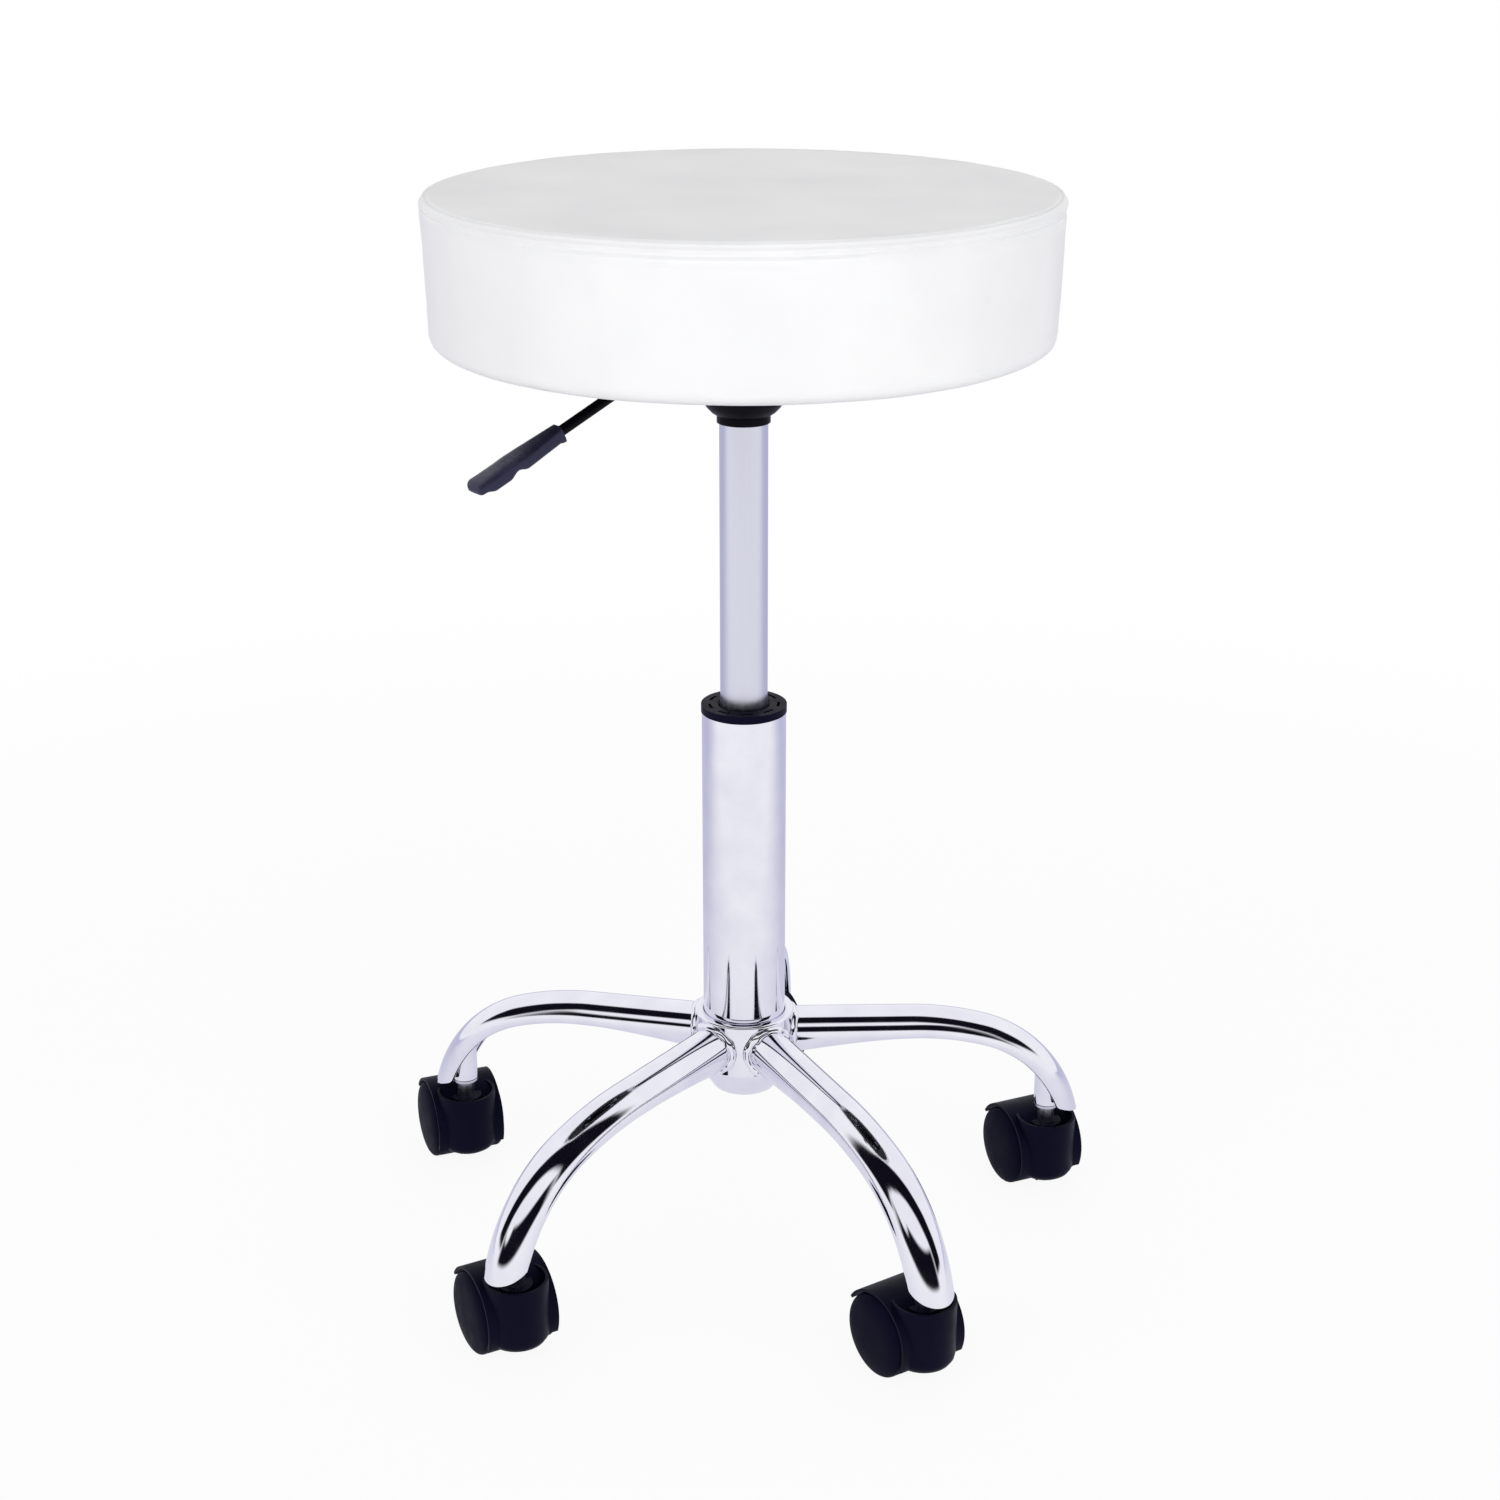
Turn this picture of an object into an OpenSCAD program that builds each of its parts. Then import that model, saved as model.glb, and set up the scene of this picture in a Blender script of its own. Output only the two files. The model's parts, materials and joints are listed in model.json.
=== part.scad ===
// Height-adjustable work stool: a round upholstered seat on a gas lift, with a release lever
// under the seat and a five-leg tubular base on twin-wheel castors.
// Millimetres. The origin is on the floor, on the column's axis. +Z is up and one leg points
// along +Y. The model stands fully raised, and every size above the castors stacks on them.

/* [Seat cushion] */
// Radius of the seat at its fullest, just under the rolled top edge
seat_r = 178; // [165:0.5:200]
// Height of the seat's side, from the underside to where the top edge starts to roll
seat_side_h = 75.5; // [60:0.5:95]
// Radius of the rolled top edge
seat_edge_r = 8; // [6:0.5:12]
// Radius of the cushion's bottom corner
seat_corner_r = 9; // [6:0.5:14]
// How far the side draws in from its fullest down to the bottom corner
seat_draw_in = 2; // [0:0.5:5]
// Rise of the crown from the rolled edge to the flat middle
crown_h = 2.4; // [1:0.1:8]
// Radius of the flat middle of the crown
crown_flat_r = 60; // [30:1:90]
// Thickness of the vinyl cover
cover_t = 1; // [0.8:0.1:2]
// Depth of the two stitched seams in the top edge
seam_depth = 0.6; // [0.2:0.1:1.2]
// How far the cover is turned in under the board
cover_turn_in = 14; // [10:1:40]
// How far the plywood board stops short of the cushion's bottom corner
board_inset = 3; // [1:0.5:8]
// Thickness of the plywood board
board_t = 12; // [10:0.5:18]
// Staples round the edge of the cover
staple_count = 30; // [12:1:48]

/* [Seat plate] */
// Width of the square steel plate under the board
plate_w = 150; // [120:1:180]
// Thickness of the steel plate
plate_t = 3; // [2:0.5:5]
// Corner radius of the steel plate
plate_corner_r = 12; // [5:1:25]
// Distance between neighbouring plate bolts
bolt_spacing = 110; // [95:1:128]
// Radius of a plate bolt's shank
bolt_r = 3; // [2.5:0.5:4]
// Radius of a plate bolt's head
bolt_head_r = 6; // [5:0.5:7]
// Height of a plate bolt's head
bolt_head_h = 3.3; // [2:0.1:4]

/* [Lever] */
// Compass direction of the lever, from +X towards +Y
lever_azimuth = -138; // [-180:1:180]
// Radius of the steel lever rod
rod_r = 3; // [2.5:0.25:4]
// Distance from the lever's pivot to the hollow that the lever works in
pivot_inset = 3; // [2:0.5:4]
// Room above the lever, which lets it tilt
lever_room = 5.5; // [5:0.5:11]
// Radius of the lever's pivot pin
pivot_pin_r = 1.5; // [1:0.25:1.75]
// Distance from the column's axis to the lever's bend
bend_x = 69; // [60:1:74]
// Angle at which the outer arm falls away
arm_drop = 24; // [15:1:32]
// Length of the arm from the bend to the grip
arm_len = 60; // [45:1:70]
// Length of the grip
grip_len = 60; // [50:1:75]
// Height of the grip
grip_h = 9; // [8.5:0.1:13]
// Width of the grip where the palm lies on it
grip_w = 16; // [8.5:0.1:20]
// Width of the grip at its mouth
grip_mouth_w = 9.5; // [8.5:0.1:12]
// Depth of the finger notches in the grip's underside
notch_depth = 2.4; // [0.5:0.1:3]

/* [Gas lift] */
// Outer radius of the gas cylinder
cylinder_r = 14; // [12:0.5:16]
// Wall of the gas cylinder
cylinder_wall = 1.75; // [1.5:0.25:3]
// Length of cylinder that still shows when the seat is at its lowest
low_show = 29.4; // [5:0.1:80]
// Length of the cylinder's tapered top, which the socket grips
taper_len = 28; // [20:1:40]
// How much narrower the cylinder's radius is at its very top
taper_in = 0.7; // [0.4:0.1:1.2]
// Travel of the seat between its highest and lowest place
stroke = 140; // [100:1:160]
// Radius of the piston rod
piston_rod_r = 5; // [4.5:0.5:6]
// Radius of the release pin's button
release_pin_r = 3; // [2.5:0.25:3.5]
// Height of the release pin's button above the cylinder
release_pin_h = 4.7; // [4:0.1:6]
// Length of cylinder left inside the guide bush when the seat is fully up
guide_overlap = 48; // [35:1:60]

/* [Taper socket] */
// Wall of the socket's lip
lip_wall = 1.4; // [1:0.1:3]
// Height of the socket's straight lip
lip_h = 4; // [2:0.5:8]
// Radius of the hollow that the lever works in
mech_r = 24; // [20:0.5:28]
// Wall of the socket where it meets the plate
bell_wall = 8; // [7:0.5:12]

/* [Column] */
// Outer radius of the column tube
column_r = 25; // [24:0.5:28]
// Wall of the column tube
column_wall = 1.5; // [1:0.25:3]
// Height of the bump stop at the column's foot
bump_h = 35.9; // [10:0.1:60]
// Height of the guide bush's flange above the column
bush_flange_h = 4.6; // [3:0.1:8]
// How far the bush's flange stands out past the column
bush_flange_out = 0.4; // [0:0.1:2]
// Length of the guide bush inside the column
bush_len = 70; // [60:1:90]
// Number of slots in the bush's flange
bush_slots = 9; // [4:1:12]

/* [Hub] */
// Wall of the hub round the column
hub_wall = 5.5; // [4:0.5:8]
// Height of the hub's lip above the legs
hub_lip_h = 4.3; // [2:0.1:8]
// Height of the hub's straight part below the legs
hub_skirt_h = 2; // [1:0.5:5]
// Height of the hub's tapered foot
hub_foot_h = 17.6; // [14:0.1:20]
// Radius of the hub's foot at its very bottom
hub_foot_r = 19; // [18:0.5:24]
// Radius of the well under the column
well_r = 12; // [10:0.5:13]

/* [Legs] */
// Radius of the circle that the castors swivel on
castor_circle_r = 200; // [185:1:220]
// Outer radius of the leg tube
leg_r = 14; // [12.5:0.25:14.5]
// Wall of the leg tube
leg_wall = 1.5; // [1.2:0.1:1.8]
// Fall of the leg's straight part
straight_slope = 5.5; // [2:0.5:9]
// Fall of the leg where the long bow meets the tight bend
bow_slope = 20; // [15:0.5:26]
// Fall of the leg at its end
end_slope = 77; // [70:0.5:80]
// Radius of the long bow
bow_r = 194; // [150:1:230]
// Radius of the tight bend at the end
bend_r = 84; // [75:1:95]
// How far the middle of the leg's end lies outside the castor's axis
leg_tip_out = 5.9; // [5:0.1:8]
// Gap between the castor's hood and the middle of the leg's end
leg_tip_gap = 2; // [1.5:0.1:6]
// Distance from the hub to where the tube's underside starts to be pressed in
press_from_out = 7.5; // [4:0.5:40]
// Distance from where the underside is fully pressed in to the castor's axis
press_full_in = 20; // [12:1:60]

/* [Castor sockets] */
// Wall of the stem socket welded into each leg
socket_wall = 1.2; // [1:0.1:1.5]
// Height of the stem socket's mouth above the castor's hood
socket_lift = 8.3; // [6:0.1:10]
// Length of the nylon sleeve in the socket
sleeve_len = 17; // [12:0.5:20]
// Wall of the nylon sleeve
sleeve_wall = 1.25; // [0.8:0.05:1.6]

/* [Castors] */
// Radius of a wheel
wheel_r = 25; // [20:0.5:27]
// Length of the axle between the outer faces of the two wheels, where they are fullest
wheel_span = 51; // [48:0.5:58]
// Gap between the hood's web and each wheel
wheel_side_gap = 1; // [0.6:0.1:2]
// Gap between a wheel's tread and the hood
wheel_gap = 1; // [0.8:0.1:2]
// Wall of the hood
hood_wall = 1.7; // [1.4:0.1:3]
// Width of the hood over both wheels
hood_w = 44; // [41:0.5:47]
// Distance from the swivel axis back to the axle
trail = 17; // [14:0.5:18]
// Outer radius of the hood's round boss
boss_r = 19; // [18.5:0.25:21]
// Wall of the boss
boss_wall = 1.8; // [1.4:0.1:3]
// Height of the boss's lower edge above the floor
boss_foot_z = 10; // [8:0.5:14]
// Radius of the rounding at the boss's foot
boss_foot_round = 8; // [3:0.5:10]
// Radius of the castor's stem
stem_r = 5.5; // [5:0.25:6]
// Radius of the axle
axle_r = 3; // [2.5:0.25:4]
// Turn of each castor at rest, from +X towards +Y, in the order of the legs
castor_yaw = [120, 117, 124, 129, 119]; // [0:1:360]

/* [Hidden] */
$fn = 72;
// Overrun of every cut
cut = 1;
// Radial clearance of a shaft that turns or slides in a bore
run_fit = 0.05;
// Gap between soft pieces and what they lie on
soft_gap = 0.3;
// Gap left for a weld
weld_gap = 0.05;

// Colours
vinyl = "#f4f4f6";
foam = "#f0e6c0";
plywood = "#c8a878";
chrome = "#d4d3e2";
steel = "#b9bac6";
black_steel = "#1c1c22";
black_plastic = "#191a26";
nylon = "#d8d8d0";
felt = "#26262a";

// Castors
axle_z = wheel_r;
hood_r = wheel_r + wheel_gap + hood_wall;
hood_top_z = axle_z + hood_r;
rim_drop = 1.2;
boss_rim_z = hood_top_z - rim_drop;
boss_foot_steps = 4;
web_skin = 0.5;
web_half = stem_r + web_skin;
web_floor_gap = 5;
skirt_tilt = 28;
skirt_lift = 2;
cup_floor_rise = 10;
cup_floor_z = axle_z + cup_floor_rise;
core_wall = 4.4;
core_r = stem_r + core_wall;
core_drop = 3.5;
rib_t = 1;
rib_drop = 6;
rib_count = 6;
wheel_in = web_half + wheel_side_gap;
wheel_out = wheel_span / 2;
tread_end_share = 0.68;
tread_out = wheel_in + tread_end_share * (wheel_out - wheel_in);
wheel_hub_wall = 4;
wheel_hub_r = axle_r + wheel_hub_wall;
wheel_rim_t = 4;
wheel_web_t = 3;
wheel_edge_r = 1;
dome_steps = 12;
dome_power_share = 0.72;
axle_end_gap = 4.5;
axle_half = wheel_out - axle_end_gap;
collar_out = 2.3;
collar_r = stem_r + collar_out;
collar_h = 1.6;
collar_gap = 0.3;

// Castor sockets
socket_z = hood_top_z + socket_lift;
sleeve_bore_r = stem_r + run_fit;
sleeve_r = sleeve_bore_r + sleeve_wall;
socket_r = sleeve_r + socket_wall;
stem_top_gap = 1;
stem_top_z = socket_z + sleeve_len - stem_top_gap;
roof_gap = 1;

// Legs
places = ["back", "left", "front_left", "front_right", "right"];
leg_angles = [for (i = [0 : len(places) - 1]) 90 + 360 / len(places) * i];
fold_gap = 0.6;
channel_r = leg_r - 2 * leg_wall - fold_gap;
ring_sides = 20;
leg_steps = 16;
end_set_back = 7.5;
end_cut_angle = 34;
mm_deg = 180 / PI;
bow_dr = bow_r * (sin(bow_slope) - sin(straight_slope));
bow_dz = bow_r * (cos(straight_slope) - cos(bow_slope));
bend_dr = bend_r * (sin(end_slope) - sin(bow_slope));
bend_dz = bend_r * (cos(bow_slope) - cos(end_slope));
bend_start = [castor_circle_r + leg_tip_out - bend_dr, hood_top_z + leg_tip_gap + bend_dz];
bow_start = [bend_start[0] - bow_dr, bend_start[1] + bow_dz];
axis_z = bow_start[1] + bow_start[0] * tan(straight_slope);
straight_len = bow_start[0] / cos(straight_slope);
bow_len = bow_r * (bow_slope - straight_slope) / mm_deg;
bend_len = bend_r * (end_slope - bow_slope) / mm_deg;
path_len = straight_len + bow_len + bend_len;
bend_centre = bend_start - bend_r * [sin(bow_slope), cos(bow_slope)];

// Hub
hub_bore_r = column_r;
hub_r = column_r + hub_wall;
press_from_r = hub_r + press_from_out;
press_full_r = castor_circle_r - press_full_in;
leg_root_z = axis_z - hub_r * tan(straight_slope);
hub_top_z = leg_root_z + leg_r + hub_lip_h;
hub_foot_top_z = leg_root_z - leg_r - hub_skirt_h;
hub_bottom_z = hub_foot_top_z - hub_foot_h;
hub_floor_t = 11;

// Column and gas lift
column_z = hub_bottom_z + hub_floor_t;
column_floor_t = 3;
rod_step = 1;
rod_neck_r = piston_rod_r - rod_step;
groove_depth = 0.8;
clip_t = 1.2;
clip_r = 8;
clip_opening = 50;
rod_tail = 6;
washer_t = 1.5;
washer_r = 11;
ball_r = 2;
ball_count = 10;
ball_inset = 1;
ball_circle_r = washer_r - ball_r - ball_inset;
ball_z = column_z + column_floor_t + washer_t + run_fit + ball_r;
upper_washer_z = ball_z + ball_r + run_fit;
rod_shoulder_z = upper_washer_z + washer_t;
bump_gap = 0.5;
bump_r = 10;
bump_z = rod_shoulder_z + bump_gap;
cylinder_in_r = cylinder_r - cylinder_wall;
cylinder_z = bump_z + bump_h + bump_gap + stroke;
column_top_z = cylinder_z + guide_overlap;
column_len = column_top_z - column_z;
cylinder_len = guide_overlap + bush_flange_h + low_show + stroke + taper_len;
cylinder_top_z = cylinder_z + cylinder_len;
taper_top_r = cylinder_r - taper_in;
plug_t = 15;
gland_inset = 2;
gland_h = 10;
piston_h = 12;
piston_gap = 1;
piston_z = cylinder_z + gland_inset + gland_h + piston_gap;
spigot_step = 1.5;
spigot_r = piston_rod_r - spigot_step;
bush_core_wall = 2.4;
bush_chamfer = 1.8;
bush_skin = 2;
bush_slot_in = 2.2;
bush_slot_w = 1.6;
bush_slot_share = 0.55;
bush_bore_r = cylinder_r + run_fit;
bush_out_r = column_r - column_wall;

// Seat plate, socket and lever
socket_lip_z = cylinder_top_z - taper_len;
button_top_z = cylinder_top_z + release_pin_h;
touch_gap = 0.3;
lever_z = button_top_z + touch_gap + rod_r;
plate_z = lever_z + rod_r + lever_room;
pivot_x = mech_r + pivot_inset;
lip_r = cylinder_r + lip_wall;
bell_h = plate_z - socket_lip_z;
bell_r = mech_r + bell_wall;
bell_curve_in = 4;
bell_curve_r = bell_r - bell_curve_in;
bell_curve_h = 10;
bell_steps = 8;
lever_end = 5;
slot_gap = 0.5;
slot_drop = 1.5;
pin_half_len = 8;
button_stem_len = 12;
rod_in_grip_share = 0.42;
grip_edge = 1.5;
grip_corner_r = 3.5;
grip_mouth_h = 1.2;
palm_share = 0.44;
notch_r = 9;
notch_share = [0.57, 0.94];

// Seat
seat_z = plate_z + plate_t;
board_r = seat_r - seat_draw_in - seat_corner_r - board_inset;
board_z = seat_z + cover_t;
board_top_z = board_z + board_t;
cover_turn_r = board_r - cover_turn_in;
edge_z = seat_z + seat_side_h;
edge_end = 74;
edge_angles = [0, 4, 8, 12, 20, 32, 44, 55, 60, 65, edge_end];
seam_angles = [8, 60];
side_steps = 6;
corner_steps = 6;
crown_steps = 5;
t_nut_wall = 1;
t_nut_flange_r = 9;
t_nut_flange_t = 1.2;
t_nut_end_gap = 2;
t_nut_len = board_t - t_nut_end_gap;
hex_recess_r = 2.3;
hex_recess_depth = 2;
staple_len = 10;
staple_t = 0.7;
staple_inset = 7;

// Seat profile, drawn inset by a thickness d, from the axis at the bottom to the axis at the top
function side_r(share) = seat_r - seat_draw_in * pow(1 - share, 2);
function corner_points(d) = [for (i = [0 : corner_steps])
    let (a = -90 + 90 * i / corner_steps)
    [side_r(0) - seat_corner_r + (seat_corner_r - d) * cos(a),
     seat_z + seat_corner_r + (seat_corner_r - d) * sin(a)]];
function side_points(d) = [for (i = [1 : side_steps - 1])
    let (share = i / side_steps)
    [side_r(share) - d, seat_z + seat_corner_r + share * (seat_side_h - seat_corner_r)]];
function edge_radius(a, d) = seat_edge_r - d - (len(search(a, seam_angles)) > 0 ? seam_depth : 0);
function edge_points(d) = [for (a = edge_angles)
    [seat_r - seat_edge_r + edge_radius(a, d) * cos(a), edge_z + edge_radius(a, d) * sin(a)]];
function crown_points(d) = let (
    r0 = seat_r - seat_edge_r + (seat_edge_r - d) * cos(edge_end),
    z0 = edge_z + (seat_edge_r - d) * sin(edge_end))
    [for (i = [1 : crown_steps]) let (share = 1 - i / crown_steps)
        [crown_flat_r + share * (r0 - crown_flat_r), z0 + crown_h * (1 - pow(share, 2))]];
function seat_outline(d) = let (crown = crown_points(d)) concat(
    [[0, seat_z + d]], corner_points(d), side_points(d), edge_points(d), crown,
    [[0, crown[crown_steps - 1][1]]]);

module seat_body(d) {
    rotate_extrude() polygon(seat_outline(d));
}

module seat_cover() {
    color(vinyl) difference() {
        seat_body(0);
        seat_body(cover_t);
        translate([0, 0, seat_z - cut]) cylinder(r = cover_turn_r, h = cover_t + 2 * cut);
    }
}

module foam_pad() {
    color(foam) difference() {
        seat_body(cover_t + soft_gap);
        translate([0, 0, seat_z - cut])
            cylinder(r = board_r + soft_gap, h = board_top_z - seat_z + soft_gap + cut);
    }
}

// Places of the four bolts, in the plate's own frame
module at_bolts() {
    rotate(lever_azimuth)
        for (x = [-1, 1], y = [-1, 1])
            translate([x * bolt_spacing / 2, y * bolt_spacing / 2]) children();
}

module seat_board() {
    color(plywood) difference() {
        translate([0, 0, board_z]) cylinder(r = board_r, h = board_t);
        at_bolts() {
            translate([0, 0, board_z - cut]) cylinder(r = bolt_r + t_nut_wall, h = board_t + 2 * cut);
            translate([0, 0, board_top_z - t_nut_flange_t])
                cylinder(r = t_nut_flange_r, h = t_nut_flange_t + cut);
        }
    }
}

module t_nuts() {
    color(steel) at_bolts() difference() {
        union() {
            translate([0, 0, board_top_z - t_nut_len]) cylinder(r = bolt_r + t_nut_wall, h = t_nut_len);
            translate([0, 0, board_top_z - t_nut_flange_t])
                cylinder(r = t_nut_flange_r, h = t_nut_flange_t);
        }
        translate([0, 0, board_top_z - t_nut_len - cut]) cylinder(r = bolt_r, h = t_nut_len + 2 * cut);
    }
}

module plate_bolts() {
    color(steel) at_bolts() {
        difference() {
            translate([0, 0, plate_z - bolt_head_h]) cylinder(r = bolt_head_r, h = bolt_head_h);
            translate([0, 0, plate_z - bolt_head_h - cut])
                cylinder(r = hex_recess_r, h = hex_recess_depth + cut, $fn = 6);
        }
        shank_z = plate_z - (bolt_head_h - hex_recess_depth) / 2;
        translate([0, 0, shank_z]) cylinder(r = bolt_r, h = board_top_z - t_nut_flange_t - shank_z);
    }
}

module dust_cover() {
    color(felt) difference() {
        translate([0, 0, seat_z]) cylinder(r = cover_turn_r - soft_gap, h = cover_t);
        at_bolts() translate([0, 0, seat_z - cut]) cylinder(r = bolt_r, h = cover_t + 2 * cut);
    }
}

// One ring of staples holds the cover, and a second one holds the dust cover
module staples() {
    color(steel)
        for (ring_r = [cover_turn_r - staple_inset, cover_turn_r + staple_inset],
             i = [0 : staple_count - 1])
            rotate(360 / staple_count * i)
                translate([ring_r - staple_t / 2, -staple_len / 2, seat_z - staple_t])
                    cube([staple_t, staple_len, staple_t]);
}

module seat_plate() {
    inner = plate_w - 2 * plate_corner_r;
    color(black_steel) difference() {
        rotate(lever_azimuth) translate([0, 0, plate_z]) union() {
            translate([-plate_w / 2, -inner / 2]) cube([plate_w, inner, plate_t]);
            translate([-inner / 2, -plate_w / 2]) cube([inner, plate_w, plate_t]);
            for (x = [-1, 1], y = [-1, 1])
                translate([x * inner / 2, y * inner / 2]) cylinder(r = plate_corner_r, h = plate_t);
        }
        at_bolts() translate([0, 0, plate_z - cut]) cylinder(r = bolt_r, h = plate_t + 2 * cut);
    }
}

// The bell's outside is a curve from the lip to the plate, pulled towards one control point
function bell_curve(share) = pow(1 - share, 2) * [lip_r, lip_h]
    + 2 * share * (1 - share) * [bell_curve_r, bell_curve_h] + pow(share, 2) * [bell_r, bell_h];

module taper_socket() {
    outline = concat([[0, 0], [lip_r, 0]],
        [for (i = [0 : bell_steps]) bell_curve(i / bell_steps)], [[0, bell_h]]);
    hollow = [[0, -cut], [cylinder_r, -cut], [cylinder_r, 0], [taper_top_r, taper_len],
        [mech_r, taper_len], [mech_r, bell_h + cut], [0, bell_h + cut]];
    slot_w = 2 * (rod_r + slot_gap);
    color(black_steel) difference() {
        translate([0, 0, socket_lip_z]) rotate_extrude() polygon(outline);
        translate([0, 0, socket_lip_z]) rotate_extrude() polygon(hollow);
        rotate(lever_azimuth) {
            translate([0, -slot_w / 2, lever_z - rod_r - slot_drop])
                cube([bell_r + cut, slot_w, plate_z]);
            pivot_pin();
        }
    }
}

module pivot_pin() {
    translate([pivot_x, 0, lever_z]) rotate([90, 0, 0])
        cylinder(r = pivot_pin_r, h = 2 * pin_half_len, center = true);
}

module lever_pivot_pin() {
    color(steel) rotate(lever_azimuth) pivot_pin();
}

// Frame of the outer arm: its X runs from the bend out along the arm
module in_arm() {
    translate([bend_x, 0, lever_z]) rotate([0, arm_drop, 0]) children();
}

module lever_rod() {
    color(black_steel) rotate(lever_azimuth) difference() {
        union() {
            translate([-lever_end, 0, lever_z]) rotate([0, 90, 0])
                cylinder(r = rod_r, h = bend_x + lever_end);
            translate([bend_x, 0, lever_z]) sphere(r = rod_r);
            in_arm() rotate([0, 90, 0]) cylinder(r = rod_r, h = arm_len + rod_in_grip_share * grip_len);
        }
        translate([pivot_x, 0, lever_z]) rotate([90, 0, 0])
            cylinder(r = pivot_pin_r + run_fit, h = 2 * pin_half_len, center = true);
    }
}

// Side view of the grip: a flat top, a rounded nose and finger notches underneath
module grip_side() {
    difference() {
        union() {
            translate([0, -grip_h / 2]) square([grip_len - grip_h / 2, grip_h]);
            translate([grip_len - grip_h / 2, 0]) circle(r = grip_h / 2);
            translate([0, -grip_h / 2 - grip_mouth_h]) square([grip_mouth_h, grip_h + grip_mouth_h]);
        }
        for (share = notch_share)
            translate([share * grip_len, -grip_h / 2 - notch_r + notch_depth]) circle(r = notch_r);
    }
}

// Plan of the grip: it widens from the mouth to the palm and keeps that width to its blunt nose
module grip_plan() {
    corner_x = grip_len - grip_corner_r;
    corner_y = grip_w / 2 - grip_corner_r;
    palm_x = palm_share * grip_len;
    polygon([[0, -grip_mouth_w / 2], [palm_x, -grip_w / 2], [corner_x, -grip_w / 2],
             [corner_x, grip_w / 2], [palm_x, grip_w / 2], [0, grip_mouth_w / 2]]);
    translate([corner_x, -corner_y]) square([grip_corner_r, 2 * corner_y]);
    for (y = [-1, 1])
        translate([corner_x, y * corner_y]) circle(r = grip_corner_r);
}

module lever_grip() {
    color(black_plastic) rotate(lever_azimuth) in_arm() translate([arm_len, 0, 0]) difference() {
        intersection() {
            rotate([90, 0, 0]) translate([0, 0, -grip_w / 2]) linear_extrude(grip_w) grip_side();
            translate([0, 0, -grip_h]) linear_extrude(2 * grip_h) grip_plan();
            grip_rounding();
        }
        translate([-cut, 0, 0]) rotate([0, 90, 0])
            cylinder(r = rod_r, h = rod_in_grip_share * grip_len + cut);
    }
}

// A bar with rounded edges along its length, which the grip is cut from
module grip_rounding() {
    tall = grip_h + 2 * grip_mouth_h;
    translate([-cut, 0, 0]) union() {
        translate([0, -grip_w / 2 + grip_edge, -tall / 2])
            cube([grip_len + 2 * cut, grip_w - 2 * grip_edge, tall]);
        translate([0, -grip_w / 2, -grip_h / 2 + grip_edge])
            cube([grip_len + 2 * cut, grip_w, grip_h - 2 * grip_edge]);
        for (y = [-1, 1], z = [-1, 1])
            translate([0, y * (grip_w / 2 - grip_edge), z * (grip_h / 2 - grip_edge)])
                rotate([0, 90, 0]) cylinder(r = grip_edge, h = grip_len + 2 * cut);
    }
}

module gas_cylinder() {
    outline = [[0, 0], [cylinder_r, 0], [cylinder_r, cylinder_len - taper_len],
        [taper_top_r, cylinder_len], [0, cylinder_len]];
    color(steel) difference() {
        translate([0, 0, cylinder_z]) rotate_extrude() polygon(outline);
        translate([0, 0, cylinder_z - cut]) cylinder(r = cylinder_in_r, h = cylinder_len - plug_t + cut);
        translate([0, 0, cylinder_top_z - plug_t - cut])
            cylinder(r = release_pin_r + run_fit, h = plug_t + 2 * cut);
    }
}

module cylinder_gland() {
    color(black_plastic) translate([0, 0, cylinder_z + gland_inset]) difference() {
        cylinder(r = cylinder_in_r, h = gland_h);
        translate([0, 0, -cut]) cylinder(r = piston_rod_r + run_fit, h = gland_h + 2 * cut);
    }
}

module release_pin() {
    color(steel) translate([0, 0, cylinder_top_z - button_stem_len])
        cylinder(r = release_pin_r, h = button_stem_len + release_pin_h);
}

module piston_rod() {
    groove = rod_tail - touch_gap - clip_t;
    groove_r = rod_neck_r - groove_depth;
    shoulder = rod_shoulder_z - column_z + rod_tail;
    top = piston_z - column_z + rod_tail;
    color(steel) translate([0, 0, column_z - rod_tail]) rotate_extrude() polygon([
        [0, 0], [rod_neck_r, 0], [rod_neck_r, groove], [groove_r, groove], [groove_r, groove + clip_t],
        [rod_neck_r, groove + clip_t], [rod_neck_r, shoulder], [piston_rod_r, shoulder],
        [piston_rod_r, top], [spigot_r, top], [spigot_r, top + piston_h], [0, top + piston_h]]);
}

module piston() {
    color(black_plastic) translate([0, 0, piston_z]) difference() {
        cylinder(r = cylinder_in_r - run_fit, h = piston_h);
        translate([0, 0, -cut]) cylinder(r = spigot_r, h = piston_h + 2 * cut);
    }
}

module bump_stop() {
    color(black_plastic) translate([0, 0, bump_z]) difference() {
        cylinder(r = bump_r, h = bump_h);
        translate([0, 0, -cut]) cylinder(r = piston_rod_r, h = bump_h + 2 * cut);
    }
}

module washer(bottom_z, bore_r) {
    color(steel) translate([0, 0, bottom_z]) difference() {
        cylinder(r = washer_r, h = washer_t);
        translate([0, 0, -cut]) cylinder(r = bore_r, h = washer_t + 2 * cut);
    }
}

module bearing_balls() {
    color(steel)
        for (i = [0 : ball_count - 1])
            rotate(360 / ball_count * i) translate([ball_circle_r, 0, ball_z]) sphere(r = ball_r);
}

module retaining_clip() {
    color(steel) translate([0, 0, column_z - touch_gap - clip_t])
        rotate_extrude(start = clip_opening / 2, angle = 360 - clip_opening)
            translate([rod_neck_r - groove_depth, 0]) square([clip_r - rod_neck_r + groove_depth, clip_t]);
}

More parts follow.
